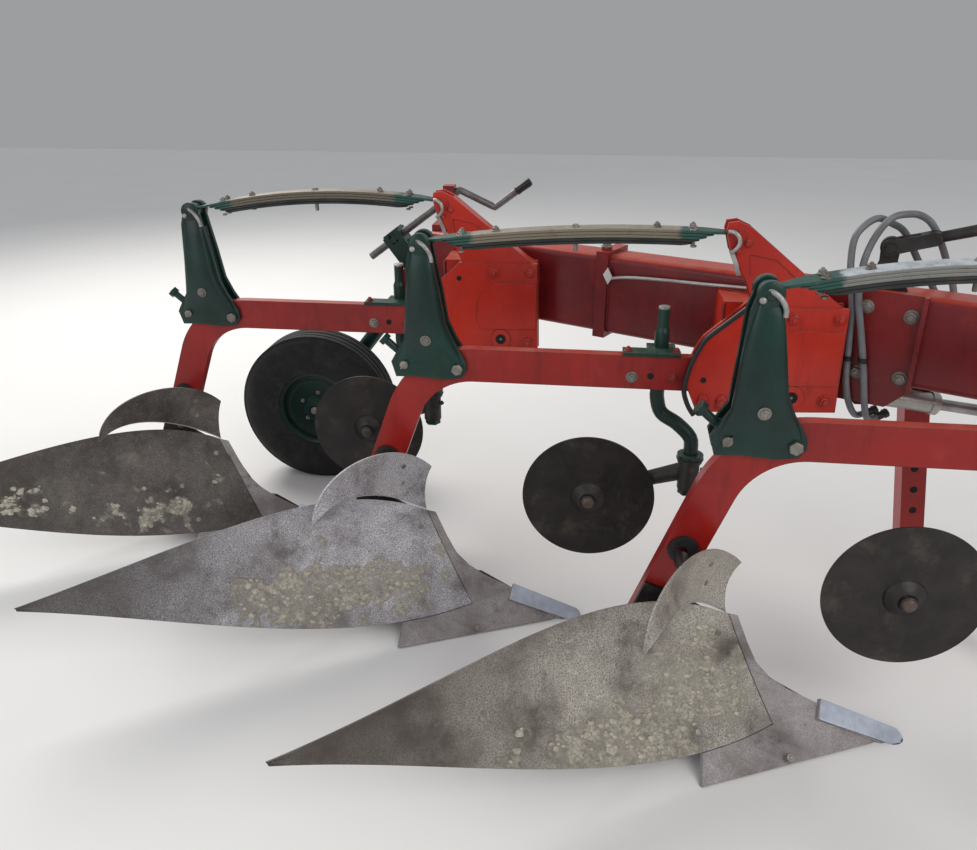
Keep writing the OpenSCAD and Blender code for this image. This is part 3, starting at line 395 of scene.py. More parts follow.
# Every CAD node gets its finish
FINISH = {
    "frame_tube": SHADED_TUBE_RED, "frame_joint": SHADED_TUBE_RED, "head_plate": SHADED_TUBE_RED, "headstock": SHADED_TUBE_RED,
    "top_brace": DARK, "trip_brackets": BLOCK, "wheel_bracket": SHADED_TUBE_RED, "spindle": WORN,
    "hoses": HOSE, "cross_shaft": BARE, "ram_barrel": ROD, "ram_rod": BARE, "stand": RED,
    "wheel_arm": GREEN, "spindle_nut": GREEN, "rim": GREEN, "tyre": TYRE, "spring": LEAVES[0],
    "leg": RED, "mast": GREEN, "frog": DARK, "moldboard": BOARDS[0], "share": SHIN,
    "trash_board": DARK, "coulter_stem": GREEN, "coulter_arm": DARK, "disc": DISC,
}


def dress(obj, *mats):
    """Gives an object its materials; clearing an empty list would lose the faces' indices."""
    if obj.data.materials:
        obj.data.materials.clear()
    for mat in mats:
        obj.data.materials.append(mat)


for name, obj in nodes.items():
    root = name[:-2] if name[-2:] in ("_1", "_2", "_3") else name
    dress(obj, FINISH[root])

# Shapes

WASHER_T = 2.4


class Shape:
    """Gathers solids of one piece, in millimetres from the share tip of body k."""

    def __init__(self, k=1):
        self.k = k
        self.verts, self.faces, self.slots = [], [], []

    def add(self, verts, faces, mat=0):
        """Adds points and faces; mat is the faces' place in the piece's list of materials."""
        n = len(self.verts)
        self.verts += [Vector(p) for p in verts]
        self.faces += [[i + n for i in face] for face in faces]
        self.slots += [mat] * len(faces)

    def rings(self, rings, mat=0, caps=True, wrap=False):
        """Skin over rings of the same number of points."""
        count, n = len(rings), len(rings[0])
        faces = []
        for i in range(count if wrap else count - 1):
            this, after = i * n, (i + 1) % count * n
            faces += [[this + j, this + (j + 1) % n, after + (j + 1) % n, after + j] for j in range(n)]
        if caps and not wrap:
            faces += [list(range(n))[::-1], [(count - 1) * n + j for j in range(n)]]
        self.add([p for ring in rings for p in ring], faces, mat)

    def revolve(self, origin, axis, profile, n=24, mat=0, turn=0.0):
        """profile is (distance along axis, radius) from one end to the other."""
        axis = Vector(axis).normalized()
        side = axis.orthogonal().normalized()
        up = axis.cross(side)
        rings = []
        for d, r in profile:
            mid = Vector(origin) + axis * d
            rings.append([mid + (side * math.cos(turn + a) + up * math.sin(turn + a)) * max(r, 0.01)
                          for a in circle(n)])
        self.rings(rings, mat)

    def bolt(self, at, axis, size, high, stub, mat=0, washer=True):
        """Hexagon head or nut with its washer and, over it, the end of the bolt."""
        axis = Vector(axis).normalized()
        at = Vector(at)
        if washer:
            self.revolve(at, axis, [(0, size * 1.28), (WASHER_T - 0.2, size * 1.28),
                                    (WASHER_T + 0.2, size * 1.2)], 20, mat)
            at = at + axis * WASHER_T
        turn = random.uniform(0, 1.0)
        self.revolve(at, axis, [(0, size), (high - 1.5, size), (high, size * 0.86)], 6, mat, turn)
        if stub:
            r = size * 0.5
            self.revolve(at + axis * high, axis, [(-2, r), (stub - 1.2, r), (stub, r * 0.78)], 14, mat)

    def rod(self, at, axis, r, high, n):
        """Plain cylinder."""
        self.revolve(at, axis, [(0, r), (high, r)], n)

    def dome(self, at, axis, r, high):
        """Low dome of radius r."""
        steps = [(high * math.sin(a), r * math.cos(a)) for a in (0, 0.4, 0.8, 1.2, 1.5)]
        self.revolve(at, axis, [(-2, r)] + steps, 18)

    def tube(self, path, r, n):
        """Round bar along a path; r is its radius, or gives it at a share of the length."""
        path = [Vector(p) for p in path]
        side = None
        rings = []
        for i, p in enumerate(path):
            along = (path[min(len(path) - 1, i + 1)] - path[max(0, i - 1)]).normalized()
            if side is None:
                side = along.orthogonal().normalized()
            else:
                side = (side - along * side.dot(along)).normalized()
            up = along.cross(side)
            radius = r(i / (len(path) - 1)) if callable(r) else r
            rings.append([p + (side * math.cos(a) + up * math.sin(a)) * radius for a in circle(n)])
        self.rings(rings)

    def block(self, centre, size, turn, round_by):
        """Box with bevelled edges; turn is a rotation matrix."""
        bm = bmesh.new()
        bmesh.ops.create_cube(bm, size=1)
        for v in bm.verts:
            v.co = Vector((v.co.x * size[0], v.co.y * size[1], v.co.z * size[2]))
        bmesh.ops.bevel(bm, geom=bm.edges[:], offset=round_by, segments=2, affect="EDGES")
        self.add([Vector(centre) + turn @ v.co for v in bm.verts],
                 [[v.index for v in face.verts] for face in bm.faces])
        bm.free()

    def prism(self, outline, y0, y1):
        """Outline of (x, z) points between y0 and y1."""
        n = len(outline)
        pts = [(x, y0, z) for x, z in outline] + [(x, y1, z) for x, z in outline]
        faces = [list(range(n)), [n + i for i in range(n)][::-1]]
        faces += [[i, n + i, n + (i + 1) % n, (i + 1) % n] for i in range(n)]
        self.add(pts, faces)

    def sheet(self, point, nu, nv, back, mat, rear):
        """Thick sheet over point(u, v); back is the way to its rear face, in material rear."""
        back = Vector(back)
        front = [[Vector(point(i / nu, j / nv)) for j in range(nv + 1)] for i in range(nu + 1)]
        n = nv + 1
        pts = [p for row in front for p in row]
        far = [p + back for p in pts]
        faces = [[i * n + j, i * n + j + 1, (i + 1) * n + j + 1, (i + 1) * n + j]
                 for i in range(nu) for j in range(nv)]
        off = len(pts)
        behind = [[off + q for q in face][::-1] for face in faces]
        rim = [(i, 0) for i in range(nu)] + [(nu, j) for j in range(nv)]
        rim += [(i, nv) for i in range(nu, 0, -1)] + [(0, j) for j in range(nv, 0, -1)]
        loop = [i * n + j for i, j in rim]
        faces += [[a, off + a, off + b, b] for a, b in zip(loop, loop[1:] + loop[:1])]
        start = len(self.verts)
        self.add(pts + far, faces, mat)
        self.faces += [[q + start for q in face] for face in behind]
        self.slots += [rear] * len(behind)

    def make(self, name, mats, body=None, angle=0.6):
        """Makes the piece; it rides a body, and edges sharper than angle in radians stay sharp."""
        mesh = bpy.data.meshes.new(name)
        mesh.from_pydata([in_unit(self.k, *p) for p in self.verts], [], self.faces)
        mesh.polygons.foreach_set("material_index", self.slots)
        bm = bmesh.new()
        bm.from_mesh(mesh)
        bmesh.ops.recalc_face_normals(bm, faces=bm.faces[:])
        bm.to_mesh(mesh)
        bm.free()
        mesh.polygons.foreach_set("use_smooth", [True] * len(mesh.polygons))
        mesh.set_sharp_from_angle(angle=angle)
        obj = bpy.data.objects.new(name, mesh)
        bpy.context.collection.objects.link(obj)
        dress(obj, *(mats if isinstance(mats, (list, tuple)) else (mats,)))
        if body:
            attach(obj, body)
        return obj


def mix(a, b, t):
    return a + (b - a) * t


def through4(a, b, c, d, t):
    """Curve through four places at t = 0, 1/3, 2/3 and 1."""
    third = 1 / 3
    w = (-4.5 * (t - third) * (t - 2 * third) * (t - 1), 13.5 * t * (t - 2 * third) * (t - 1),
         -13.5 * t * (t - third) * (t - 1), 4.5 * t * (t - third) * (t - 2 * third))
    return a * w[0] + b * w[1] + c * w[2] + d * w[3]


def smooth_way(route, steps):
    """Catmull-Rom curve through a route, as in the part's source."""
    r = [Vector(p) for p in route]
    way = []
    for i in range(len(r) - 1):
        a, b, c, d = r[max(0, i - 1)], r[i], r[i + 1], r[min(len(r) - 1, i + 2)]
        for s in range(steps):
            t = s / steps
            way.append(0.5 * (2 * b + (c - a) * t + (2 * a - 5 * b + 4 * c - d) * t * t
                              + (3 * b - a - 3 * c + d) * t ** 3))
    return way + [r[-1]]


def turned(axis, degrees):
    return Matrix.Rotation(math.radians(degrees), 3, axis)


def around(a, r):
    """Place at an angle round the y axis."""
    return Vector((r * math.cos(a), 0, r * math.sin(a)))


def circle(n, closed=False):
    """Angles around a full turn; closed adds the first one again."""
    return [2 * math.pi * i / n for i in range(n + 1 if closed else n)]


# Boards

BACK = Vector((-0.53, 0.77, -0.35))
BOARD_T, SHARE_T, SEAM, SHARE_U = 8.0, 10.0, 2.0, 0.18
BULGE_END, BULGE = 8, 130
BOARD_NU, BOARD_NV = 150, 64
TRASH_BACK = Vector((-5, 4, 0))
LOW = [Vector(p) for p in ((-346, -44, 48), (-715, -262, 80), (-1105, -406, 170), (-1480, -574, 298))]
HIGH = [Vector(p) for p in ((-488, -12, 358), (-800, -105, 409), (-1120, -340, 386), (-1485, -574, 306))]
TRASH_LOW = [Vector(p) for p in ((-492, 2, 352), (-582, -84, 436), (-650, -250, 516), (-721, -372, 498))]
TRASH_HIGH = [Vector(p) for p in ((-471, 0, 503), (-580, -102, 588), (-677, -264, 592), (-721, -372, 503))]


def board(u, v):
    """Front face of the board: u runs back from the share, v up."""
    bulge = BULGE_END + BULGE * u * (1 - u) ** 2
    return mix(through4(*LOW, u), through4(*HIGH, u), v) + BACK * bulge * 4 * v * (1 - v)


def trash(u, v):
    """Front face of the trash board, the same way."""
    bend = Vector((-14, 12, 0)) * 4 * v * (1 - v) * (1 - u)
    return mix(through4(*TRASH_LOW, u), through4(*TRASH_HIGH, u), v) + bend


def square_to(surface, u, v, back):
    """Directions at a place on a sheet: along u, along v, and out of its front."""
    p = surface(u, v)
    along_u = (surface(u + 0.01, v) - p).normalized()
    along_v = (surface(u, v + 0.01) - p).normalized()
    square = along_u.cross(along_v).normalized()
    return along_u, along_v, square if square.dot(back) < 0 else -square


def flush_bolts(shape, spots, surface, back, r):
    """Countersunk heads, worn level with the sheet."""
    for u, v in spots:
        p = surface(u, v)
        square = square_to(surface, u, v, back)[2]
        shape.revolve(p - square * 3, square, [(0, r), (3.4, r), (3.9, r * 0.9), (3.5, r * 0.3)], 20)


# Where soil is caked on each board: middle u and v, reach in u and v, amount
SOIL = (
    ((0.34, 0.10, 0.24, 0.20, 1.0), (0.14, 0.35, 0.16, 0.40, 0.75), (0.10, 0.75, 0.14, 0.30, 0.45)),
    ((0.42, 0.25, 0.16, 0.26, 1.0), (0.20, 0.28, 0.14, 0.22, 0.9), (0.30, 0.80, 0.10, 0.15, 0.3)),
    ((0.30, 0.20, 0.14, 0.18, 0.6), (0.62, 0.30, 0.12, 0.2, 0.5)),
)


def soil_at(k, u, v):
    """Amount of soil at a place on board k, smooth."""
    return max(amount * math.exp(-((u - a) / ra) ** 2 - ((v - b) / rb) ** 2)
               for a, b, ra, rb, amount in SOIL[k - 1])


def caked(k, u, v, p):
    """Share of caked soil at a place on a board, with a ragged border."""
    rough = noise.fractal(p / 60 + Vector((5 * k, 1, 2)), 0.7, 2.1, 6)
    t = (soil_at(k, u, v) + 0.55 * rough - 0.3) / 0.4
    t = min(1, max(0, t))
    return t * t * (3 - 2 * t)


def tag(obj, name, values):
    """Writes one number for each point of the mesh."""
    layer = obj.data.attributes.new(name, "FLOAT", "POINT")
    layer.data.foreach_set("value", values)


def add_boards(k):
    """Board with its caked soil, trash board and share, with the nut of the share."""
    s = Shape(k)
    s.sheet(board, BOARD_NU, BOARD_NV, BACK * BOARD_T, 0, 1)
    grid = [(i / BOARD_NU, j / BOARD_NV) for i in range(BOARD_NU + 1) for j in range(BOARD_NV + 1)]
    cake = []
    out = -BACK.normalized()
    # The front face rises where soil is caked on it, and keeps its rim
    for n, (u, v) in enumerate(grid):
        p = s.verts[n]
        amount = caked(k, u, v, p)
        cake.append(amount)
        inside = min(1, 12 * min(u, 1 - u, v, 1 - v))
        lumps = noise.fractal(p / 11 + Vector((k, 0, 0)), 0.8, 2.2, 4)
        s.verts[n] = p + out * inside * (amount * (2.6 + 2.2 * lumps) + 0.25 * lumps)
    obj = s.make(f"board_{k}", [BOARDS[k - 1], DARK], f"leg_{k}", 0.9)
    tag(obj, "soil", cake * 2)
    tag(obj, "tail", [min(1, max(0, (u - 0.42) / 0.4)) for u, v in grid] * 2)
    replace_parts(obj, f"moldboard_{k}")
    add_trash_board(k)
    add_share(k)
    add_clods(k)
    s = Shape(k)
    flush_bolts(s, [(0.17, 0.12), (0.19, 0.45), (0.045, 0.8)], board, BACK, 9)
    flush_bolts(s, [(0.2, 0.35), (0.2, 0.7)], trash, TRASH_BACK, 8)
    s.bolt((-316, -131, 22), (0.32, -0.66, 0.68), 12, 7, 3, washer=False)
    s.make(f"plough_bolts_{k}", BOLT, f"leg_{k}")


def add_trash_board(k):
    """Trash board with its ground edge, its ring on the leg and the arm between them."""
    s = Shape(k)
    # Its rear face takes the dark steel: painted shade on the back of the blade
    s.sheet(trash, 40, 12, TRASH_BACK, 0, 1)
    # Ground edge along its foot
    s.sheet(lambda u, v: trash(u, v * 0.025) + Vector((0.5, -0.6, -0.6)), 40, 1, TRASH_BACK * 1.25, 2, 2)
    ring = [(8, 9), (8, 38), (16, 38), (16, 9)]
    s.rings([[Vector((-612, y, 520)) + around(a, r) for y, r in ring] for a in circle(36)], 1, False, True)
    arm = trash(0.42, 0.45) + TRASH_BACK / 2
    foot = Vector((-624, 12, 510))
    s.sheet(lambda u, v: mix(foot, arm, u) + Vector((0, 0, 40 * v - 20)), 6, 1, (-10, 0, 0), 1, 1)
    obj = s.make(f"trash_face_{k}", [BOARDS[k - 1], DARK, ROD], f"leg_{k}", 0.5)
    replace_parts(obj, f"trash_board_{k}")


CLODS = 170
CLOD_SIZES = (2.5, 3, 3.5, 4, 5, 6, 8)


def add_clods(k):
    """Lumps of dry soil that stand out from the board."""
    s = Shape(k)
    left = CLODS
    while left:
        u, v = random.uniform(0.03, 0.85), random.uniform(0.04, 0.94)
        if caked(k, u, v, board(u, v)) < 0.5:
            continue
        left -= 1
        p = board(u, v)
        du, dv, square = square_to(board, u, v, BACK)
        size = random.choice(CLOD_SIZES) * random.uniform(0.8, 1.2)
        bm = bmesh.new()
        bmesh.ops.create_icosphere(bm, subdivisions=2, radius=1)
        turn = random.uniform(0, 3)
        for vert in bm.verts:
            x, y, z = vert.co * random.uniform(0.7, 1.2)
            x, y = x * math.cos(turn) - y * math.sin(turn), x * math.sin(turn) + y * math.cos(turn)
            vert.co = p + du * x * size * 1.4 + dv * y * size + square * (2.5 + z * size * 0.45)
        s.add([vert.co.copy() for vert in bm.verts], [[q.index for q in f.verts] for f in bm.faces])
        bm.free()
    s.make(f"clods_{k}", CLOD, f"leg_{k}", 1.2)


def add_share(k):
    """Smooth faces over the share and its shin, and the rounded point."""
    s = Shape(k)
    low = [Vector((-84, -33, 4)), Vector((-541, -236, 4))]
    high = [Vector((-130, 6, 38)), Vector((-213, 10, 75))]
    high += [board(SHARE_U * i / 4, 0) + Vector((SEAM, 0, -SEAM)) for i in range(5)]
    shin = [Vector(p) for p in ((-213, 10, 75), (-262, 7, 100), (-312, 4, 126), (-362, 1, 163),
                                (-400, -1, 206), (-430, -1, 268), (-463, -1, 347))]
    inner = [high[2]] + [board(0, j / 6) + Vector((SEAM, 0, 0)) for j in range(1, 7)]

    def along(points, t):
        i = min(len(points) - 2, int(t * (len(points) - 1)))
        return mix(points[i], points[i + 1], t * (len(points) - 1) - i)

    # The faces lie a little proud of the solids under them
    skin = Vector((0.25, -0.55, 0.45)) * 1.2
    over = 1.5
    s.sheet(lambda u, v: mix(along(low, u), along(high, u), v) + skin, 36, 10, BACK * (SHARE_T + over), 0, 0)
    s.sheet(lambda u, v: mix(along(shin, u), along(inner, u), v) + skin, 36, 6, BACK * (BOARD_T + over), 0, 0)
    # Reversible point: a flat bar with a rounded end, bevelled along its rim
    lie = turned("Y", 20.8) @ turned("X", 36.6)
    rim = [(-238, 17), (-236, -35), (-230, -37)]
    rim += [(-27 + 27 * math.cos(a), -10 + 27 * math.sin(a)) for a in
            (math.radians(mix(-90, 90, i / 14)) for i in range(15))]
    rings = []
    mid = Vector((-120, -10, 0))
    for drop, grow in ((-14, 1.0), (-2, 1.0), (0.8, 0.985), (1.6, 0.95)):
        ring = []
        for x, y in rim:
            q = Vector((mid.x + (x - mid.x) * (1 - (1 - grow) * 0.25), mid.y + (y - mid.y) * grow, drop))
            q = lie @ q
            q.z = max(q.z, 0.5)
            ring.append(q)
        rings.append(ring)
    s.rings(rings, 1)
    s.make(f"share_face_{k}", [SHIN, POINT], f"leg_{k}", 0.5)


# Springs

BOWS = (28, 2, 24)
PACK_BOW = 20
LEAVES_IN_PACK, LEAF_T, LEAF_W = 5, 8.0, 64.0
LEAF_INSET, LEAF_STEP = 44, 18
NECK, EYE_R, EYE_W = 62, 21, 34
SPAN = (TOWER_PIN - MAST_PIN).length
CHORD = (TOWER_PIN - MAST_PIN).normalized()
LIFT = Vector((-CHORD.z, 0, CHORD.x))


def leaf_at(k, t, h, y=0.0):
    """Point on the arch of spring k at share t of the span, h over the underside of its main leaf."""
    rise = (BOWS[k - 1] + PACK_BOW) * 4 * t * (1 - t) + h
    return MAST_PIN + CHORD * SPAN * t + LIFT * rise + FAR * y


def add_spring(k):
    s = Shape(k)
    half = LEAF_W / 2
    for i in range(LEAVES_IN_PACK):
        # The main leaf is on top, and each one under it is shorter
        a = (LEAF_INSET + LEAF_STEP * i) / SPAN
        low = -LEAF_T * i + 0.3
        top = low + LEAF_T - 0.6
        rings = []
        for j in range(41):
            t = mix(a, 1 - a, j / 40)
            # The ends of each leaf are drawn out thin and clipped at the corners
            end = min(j, 40 - j)
            w = half - (12, 4)[end] if end < 2 else half
            foot = low + ((3.4, 1.2)[end] if end < 2 else 0)
            e = 1.3
            corners = ((foot, -w + e), (foot + e, -w), (top - e, -w), (top, -w + e),
                       (top, w - e), (top - e, w), (foot + e, w), (foot, w - e))
            rings.append([leaf_at(k, t, h, y) for h, y in corners])
        # The two lowest leaves take the near-black third material, painted shade
        s.rings(rings, 0 if i < 3 else 2)
    # Rolled eyes with their narrow necks
    for t0, t1, pin in ((0.0, NECK / SPAN, MAST_PIN), (1.0, 1 - NECK / SPAN, TOWER_PIN)):
        rings = []
        for j in range(9):
            t = mix(t0, t1, j / 8)
            w = mix(EYE_W / 2, half - 3, (j / 8) ** 2)
            rings.append([leaf_at(k, t, h, y) for h, y in ((0.6, -w), (7.4, -w), (7.4, w), (0.6, w))])
        s.rings(rings)
        eye = [(0, 13), (0, EYE_R - 1), (1, EYE_R), (EYE_W - 1, EYE_R), (EYE_W, EYE_R - 1), (EYE_W, 13)]
        s.revolve(pin - FAR * (EYE_W / 2), FAR, eye, 28)
    # Bolts through the leaves: pairs near the ends, one further in, and the centre bolt
    for way, pair in ((-308, True), (-214, False), (0, False), (214, False), (308, True)):
        t = 0.5 + way / SPAN
        under = -LEAF_T * (LEAVES_IN_PACK - 1)
        for y in ((-19, 19) if pair else (4,)):
            s.bolt(leaf_at(k, t, LEAF_T - 0.3, y), LIFT, 9, 8 if way else 5, 4 if way else 0, 1)
            s.revolve(leaf_at(k, t, under, y), -LIFT, [(0, 8), (5, 8)], 6, 1)
            if not way:
                s.revolve(leaf_at(k, t, under, y), -LIFT, [(0, 6), (24, 6), (26, 4)], 12, 1)
    obj = s.make(f"leaf_spring_{k}", [LEAVES[k - 1], BOLT, LEAF_LOW_SHADE])
    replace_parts(obj, f"spring_{k}")
    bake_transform(obj)
    add_shackles(k)


def add_shackles(k):
    """Bright shackles over the spring's two pins, the front one with a bent strip."""
    s = Shape(k)
    way = [(-500, 6, 1182), (-489, -4, 1180), (-473, -9, 1170), (-461, -10, 1155), (-455, -9, 1140),
           (-454, -6, 1126)]
    s.tube(smooth_way(way, 5), 6, 10)
    s.dome((-505, -8, 1160), NEAR, 8, 5)
    s.make(f"mast_shackle_{k}", CLIP, f"leg_{k}")
    s = Shape(k)
    way = [(326, 4, 1224), (338, -5, 1224), (350, -9, 1214), (354, -9, 1198), (347, -8, 1183),
           (334, -6, 1172)]
    s.tube(smooth_way(way, 5), 5.5, 10)
    strip = [(331, 1174), (341, 1178), (358, 1142), (366, 1112), (357, 1110), (347, 1138)]
    s.prism(strip, 1, 4.5)
    s.make(f"nose_shackle_{k}", CLIP, "frame")


# Height, rear and front edge, and reach towards the near side of the cast mast
MAST_LEVELS = (
    (796, -540, -404, 1), (812, -556, -380, 4), (834, -566, -376, 10), (862, -556, -384, 19),
    (900, -542, -403, 27), (950, -537, -422, 28), (1000, -533, -432, 25), (1050, -529, -440, 21),
    (1100, -522, -448, 17), (1134, -515, -455, 12), (1152, -510, -460, 5),
)


def add_mast(k):
    """Bolts of the mast, its cast shell and the drum at its head."""
    s = Shape(k)
    s.bolt((-473, -25, 908), NEAR, 12, 8, 4)
    s.bolt((-388, 0, 818), NEAR, 17, 12, 0, washer=False)
    s.revolve((-542, 2, 827), NEAR, [(0, 12), (12, 12), (13, 10)], 18)
    s.block((-542, -10.5, 827), (5, 3, 30), turned("Y", 40), 0.5)
    for x, z in ((-473, 908), (-388, 818), (-542, 827)):
        s.bolt((x, 66, z), FAR, 12, 9, 6)
    s.make(f"mast_bolts_{k}", BOLT, f"leg_{k}")
    s = Shape(k)
    # Cast shell: round in front of the leg at its foot, drawn in to the head
    rings = []
    for z, x0, x1, out in MAST_LEVELS:
        mid, wide = (x0 + x1) / 2, (x1 - x0) / 2
        ring = []
        for j in range(17):
            a = math.pi * j / 16
            lean = 0.16 * wide * math.sin(a) ** 2
            ring.append((mid - wide * math.cos(a) + lean, 3 - out * math.sin(a) ** 0.85, z))
        rings.append(ring)
    s.rings(rings)
    # Drum at the head, open for the eye of the spring
    drum_r = 29.5
    for y, wide in ((-6, 21), (53, 23)):
        profile = [(0, 9), (0, 25), (3, drum_r), (wide - 3, drum_r), (wide, 27), (wide, 9)]
        s.revolve((MAST_PIN.x, y, MAST_PIN.z), FAR, profile, 36)
    s.revolve((MAST_PIN.x, -9, MAST_PIN.z), FAR, [(0, 10), (1, 12), (5, 12)], 24)
    s.make(f"mast_shell_{k}", GREEN, f"leg_{k}", 0.7)


def add_block(k):
    """Bolts and grease nipple of a trip bracket, and its holes as flat discs of painted shade."""
    s = Shape(k)
    for x, z in ((518, 1000), (635, 1003), (629, 771)):
        s.bolt((x, -2, z), NEAR, 14, 12, 6)
        s.bolt((x, 70, z), FAR, 14, 12, 6)
    for x in (305, 356):
        s.bolt((x, -10, 749.7), NEAR, 12, 8, 5)
    s.bolt((378, 6, 1195), NEAR, 9, 5, 0)
    s.bolt((355, 2, 1173), NEAR, 7, 5, 0, washer=False)
    s.make(f"block_bolts_{k}", BLOCK, "frame")
    s = Shape(k)
    for x, z in ((301, 817), (403, 978)):
        s.rod((x, -1.4, z), NEAR, 8.5, 0.9, 20)
    s.rod((PIVOT_X, -7, PIVOT_Z), NEAR, 17, 1.8, 24)
    s.make(f"block_holes_{k}", HOLE_SHADE, "frame")
    s = Shape(k)
    s.revolve((PIVOT_X, -5, PIVOT_Z), NEAR, [(0, 5), (3, 5), (6, 2.5)], 12)
    s.make(f"grease_nipple_{k}", BOLT, "frame")


def add_beam_bits(k):
    """Bolts of the coulter's clamp and of the frog, and a hole in the beam as a flat disc of painted shade.
    """
    s = Shape(k)
    s.bolt((106, 16, 811), NEAR, 13, 10, 7)
    s.make(f"clamp_nut_{k}", BOLT, f"leg_{k}")
    s = Shape(k)
    s.bolt((218, 16, 814), NEAR, 12, 10, 4)
    for x in (106, 218):
        s.bolt((x, 62, 812), FAR, 12, 9, 5)
    for x in (92, 226):
        s.bolt((x, 30, 884), UP, 9, 7, 4)
    s.make(f"clamp_bolts_{k}", RED, f"leg_{k}")
    s = Shape(k)
    s.rod((158, 16.6, 816), NEAR, 9.5, 0.9, 22)
    s.make(f"beam_hole_{k}", HOLE_SHADE, f"leg_{k}")
    # Bolts that hold the frog and the bracket of the trash board
    s = Shape(k)
    for x, y, z in ((-612, 8, 505), (-640, 4, 400), (-585, 4, 330)):
        s.bolt((x, y, z), NEAR, 10, 8, 5)
    s.make(f"leg_bolts_{k}", BOLT, f"leg_{k}")


def add_disc_bits(k):
    """Dome over the near end of the disc's axle, its nut, and the bits of the coulter's stem."""
    x = DISC_X[k - 1]
    s = Shape(k)
    s.revolve((x, 6, DISC_Z), NEAR, [(-3, 19), (0, 18), (4, 14), (6, 7), (6.4, 0)], 28)
    s.make(f"disc_cap_{k}", HUB, f"disc_{k}")
    s = Shape(k)
    s.bolt((x, 99, DISC_Z), FAR, 18, 12, 6)
    s.make(f"axle_nut_{k}", DARK, f"coulter_{k}")
    s = Shape(k)
    s.bolt((STEM_X + 32, 40, 520), (1, -0.3, 0), 8, 6, 4, washer=False)
    s.revolve((STEM_X, STEM_Y, 551), UP, [(0, 38), (3, 39.5), (6.4, 39.5)], 32)
    s.make(f"swivel_bits_{k}", DARK, f"coulter_{k}")
    s = Shape(k)
    s.revolve((186, 76, 996), UP, [(0, 16.2), (5.5, 16.2), (7, 14)], 32)
    s.make(f"stem_end_{k}", CLIP, f"leg_{k}")


for k in UNITS:
    add_boards(k)
    add_spring(k)
    add_mast(k)
    add_block(k)
    add_beam_bits(k)
    add_disc_bits(k)

# Frame

TUBE_Z, TUBE_W, TUBE_Y = 822.0, 120.0, 400.0
PLATE_X, JOINT_X = -170, -835
T_DIR = Vector((math.cos(SLOPE), -math.sin(SLOPE), 0))
T_FAR = Vector((math.sin(SLOPE), math.cos(SLOPE), 0))


def on_tube(x, along, out, z):
    """Point along the diagonal tube from the place where its near face is at x, out beyond that face."""
    return Vector((x, TUBE_Y - x * 0.5, z)) + T_DIR * along - T_FAR * out


def add_frame_bits():
    """Bolts of the frame's plate and joint, the thin rod with its tag, and the cable."""
    s = Shape()
    for along, z in ((37, 1032), (148, 1021), (150, 853), (40, 850)):
        s.bolt(on_tube(PLATE_X, along, 16, z), -T_FAR, 15, 12, 7)
    for along in (-30, 30):
        for z in (850, 1040):
            s.bolt(on_tube(JOINT_X, along, 0, z) + T_FAR * TUBE_W, T_FAR, 12, 9, 5)
    s.make("plate_bolts", BOLT, "frame")
    s = Shape()
    s.bolt(on_tube(JOINT_X, 0, -20, 1096), UP, 15, 12, 6)
    s.make("joint_bolt", BOLT, "frame")
    # Thin rod with a blank tag
    s = Shape()
    way = [(34, 1005), (60, 1012), (115, 1019), (215, 1025), (320, 1029), (400, 1033), (481, 1037)]
    s.tube(smooth_way([on_tube(JOINT_X, a, 15, z) for a, z in way], 4), 5, 8)
    s.make("thin_rod", ROD, "frame")
    s = Shape()
    hung = on_tube(JOINT_X, 27, 20, 1014)
    face = [hung + T_DIR * a + UP * b for a, b in ((-17, 2), (-2, 26), (15, -2), (1, -27))]
    s.add(face + [p + T_FAR * 2 for p in face],
          [[0, 1, 2, 3], [7, 6, 5, 4], [0, 4, 5, 1], [1, 5, 6, 2], [2, 6, 7, 3], [3, 7, 4, 0]])
    s.make("blank_tag", TAG, "frame")
    add_weld_beads()
    # Black cable down the rear edge of the second block
    s = Shape(2)
    way = [(418, -3, 1044), (400, -3, 1030), (350, -3, 985)]
    way += [Vector((PIVOT_X, -3, PIVOT_Z)) + around(math.radians(a), 290) for a in range(146, 179, 8)]
    way += [(256, -3, 764), (268, -3, 736), (284, -3, 712)]
    s.tube(smooth_way(way, 4), 7, 12)
    s.make("edge_cable", BLACK, "frame")


def bead(s, a, b, r):
    """Weld bead, a little uneven, from a to b."""
    a, b = Vector(a), Vector(b)
    n = max(6, int((b - a).length / 9))
    path = [mix(a, b, i / n) + Vector([random.uniform(-0.5, 0.5) for _ in range(3)]) for i in range(n + 1)]
    s.tube(path, lambda t: r * random.uniform(0.85, 1.15), 8)


def add_weld_beads():
    """Weld beads under the tube's lugs, along its joint and along the trip brackets."""
    s = Shape()
    under = TUBE_Z - 1
    for y in (478, 492, 532, 546):
        bead(s, (-142, y, under), (-78, y, under), 3.5)
    for side in (-22, 22):
        bead(s, on_tube(JOINT_X, side, 0.5, 850), on_tube(JOINT_X, side, 0.5, 1048), 4.0)
    low, high = TUBE_Z + 14, TUBE_Z + 196
    for k in UNITS:
        for x in (345 - STEP * (k - 1), 656 - STEP * (k - 1)):
            for y in (TUBE_Y - x * 0.5, 70 + FURROW * (k - 1)):
                bead(s, (x, y, low), (x, y, high), 4.5)
    s.make("weld_beads", SHADED_TUBE_RED, "frame")


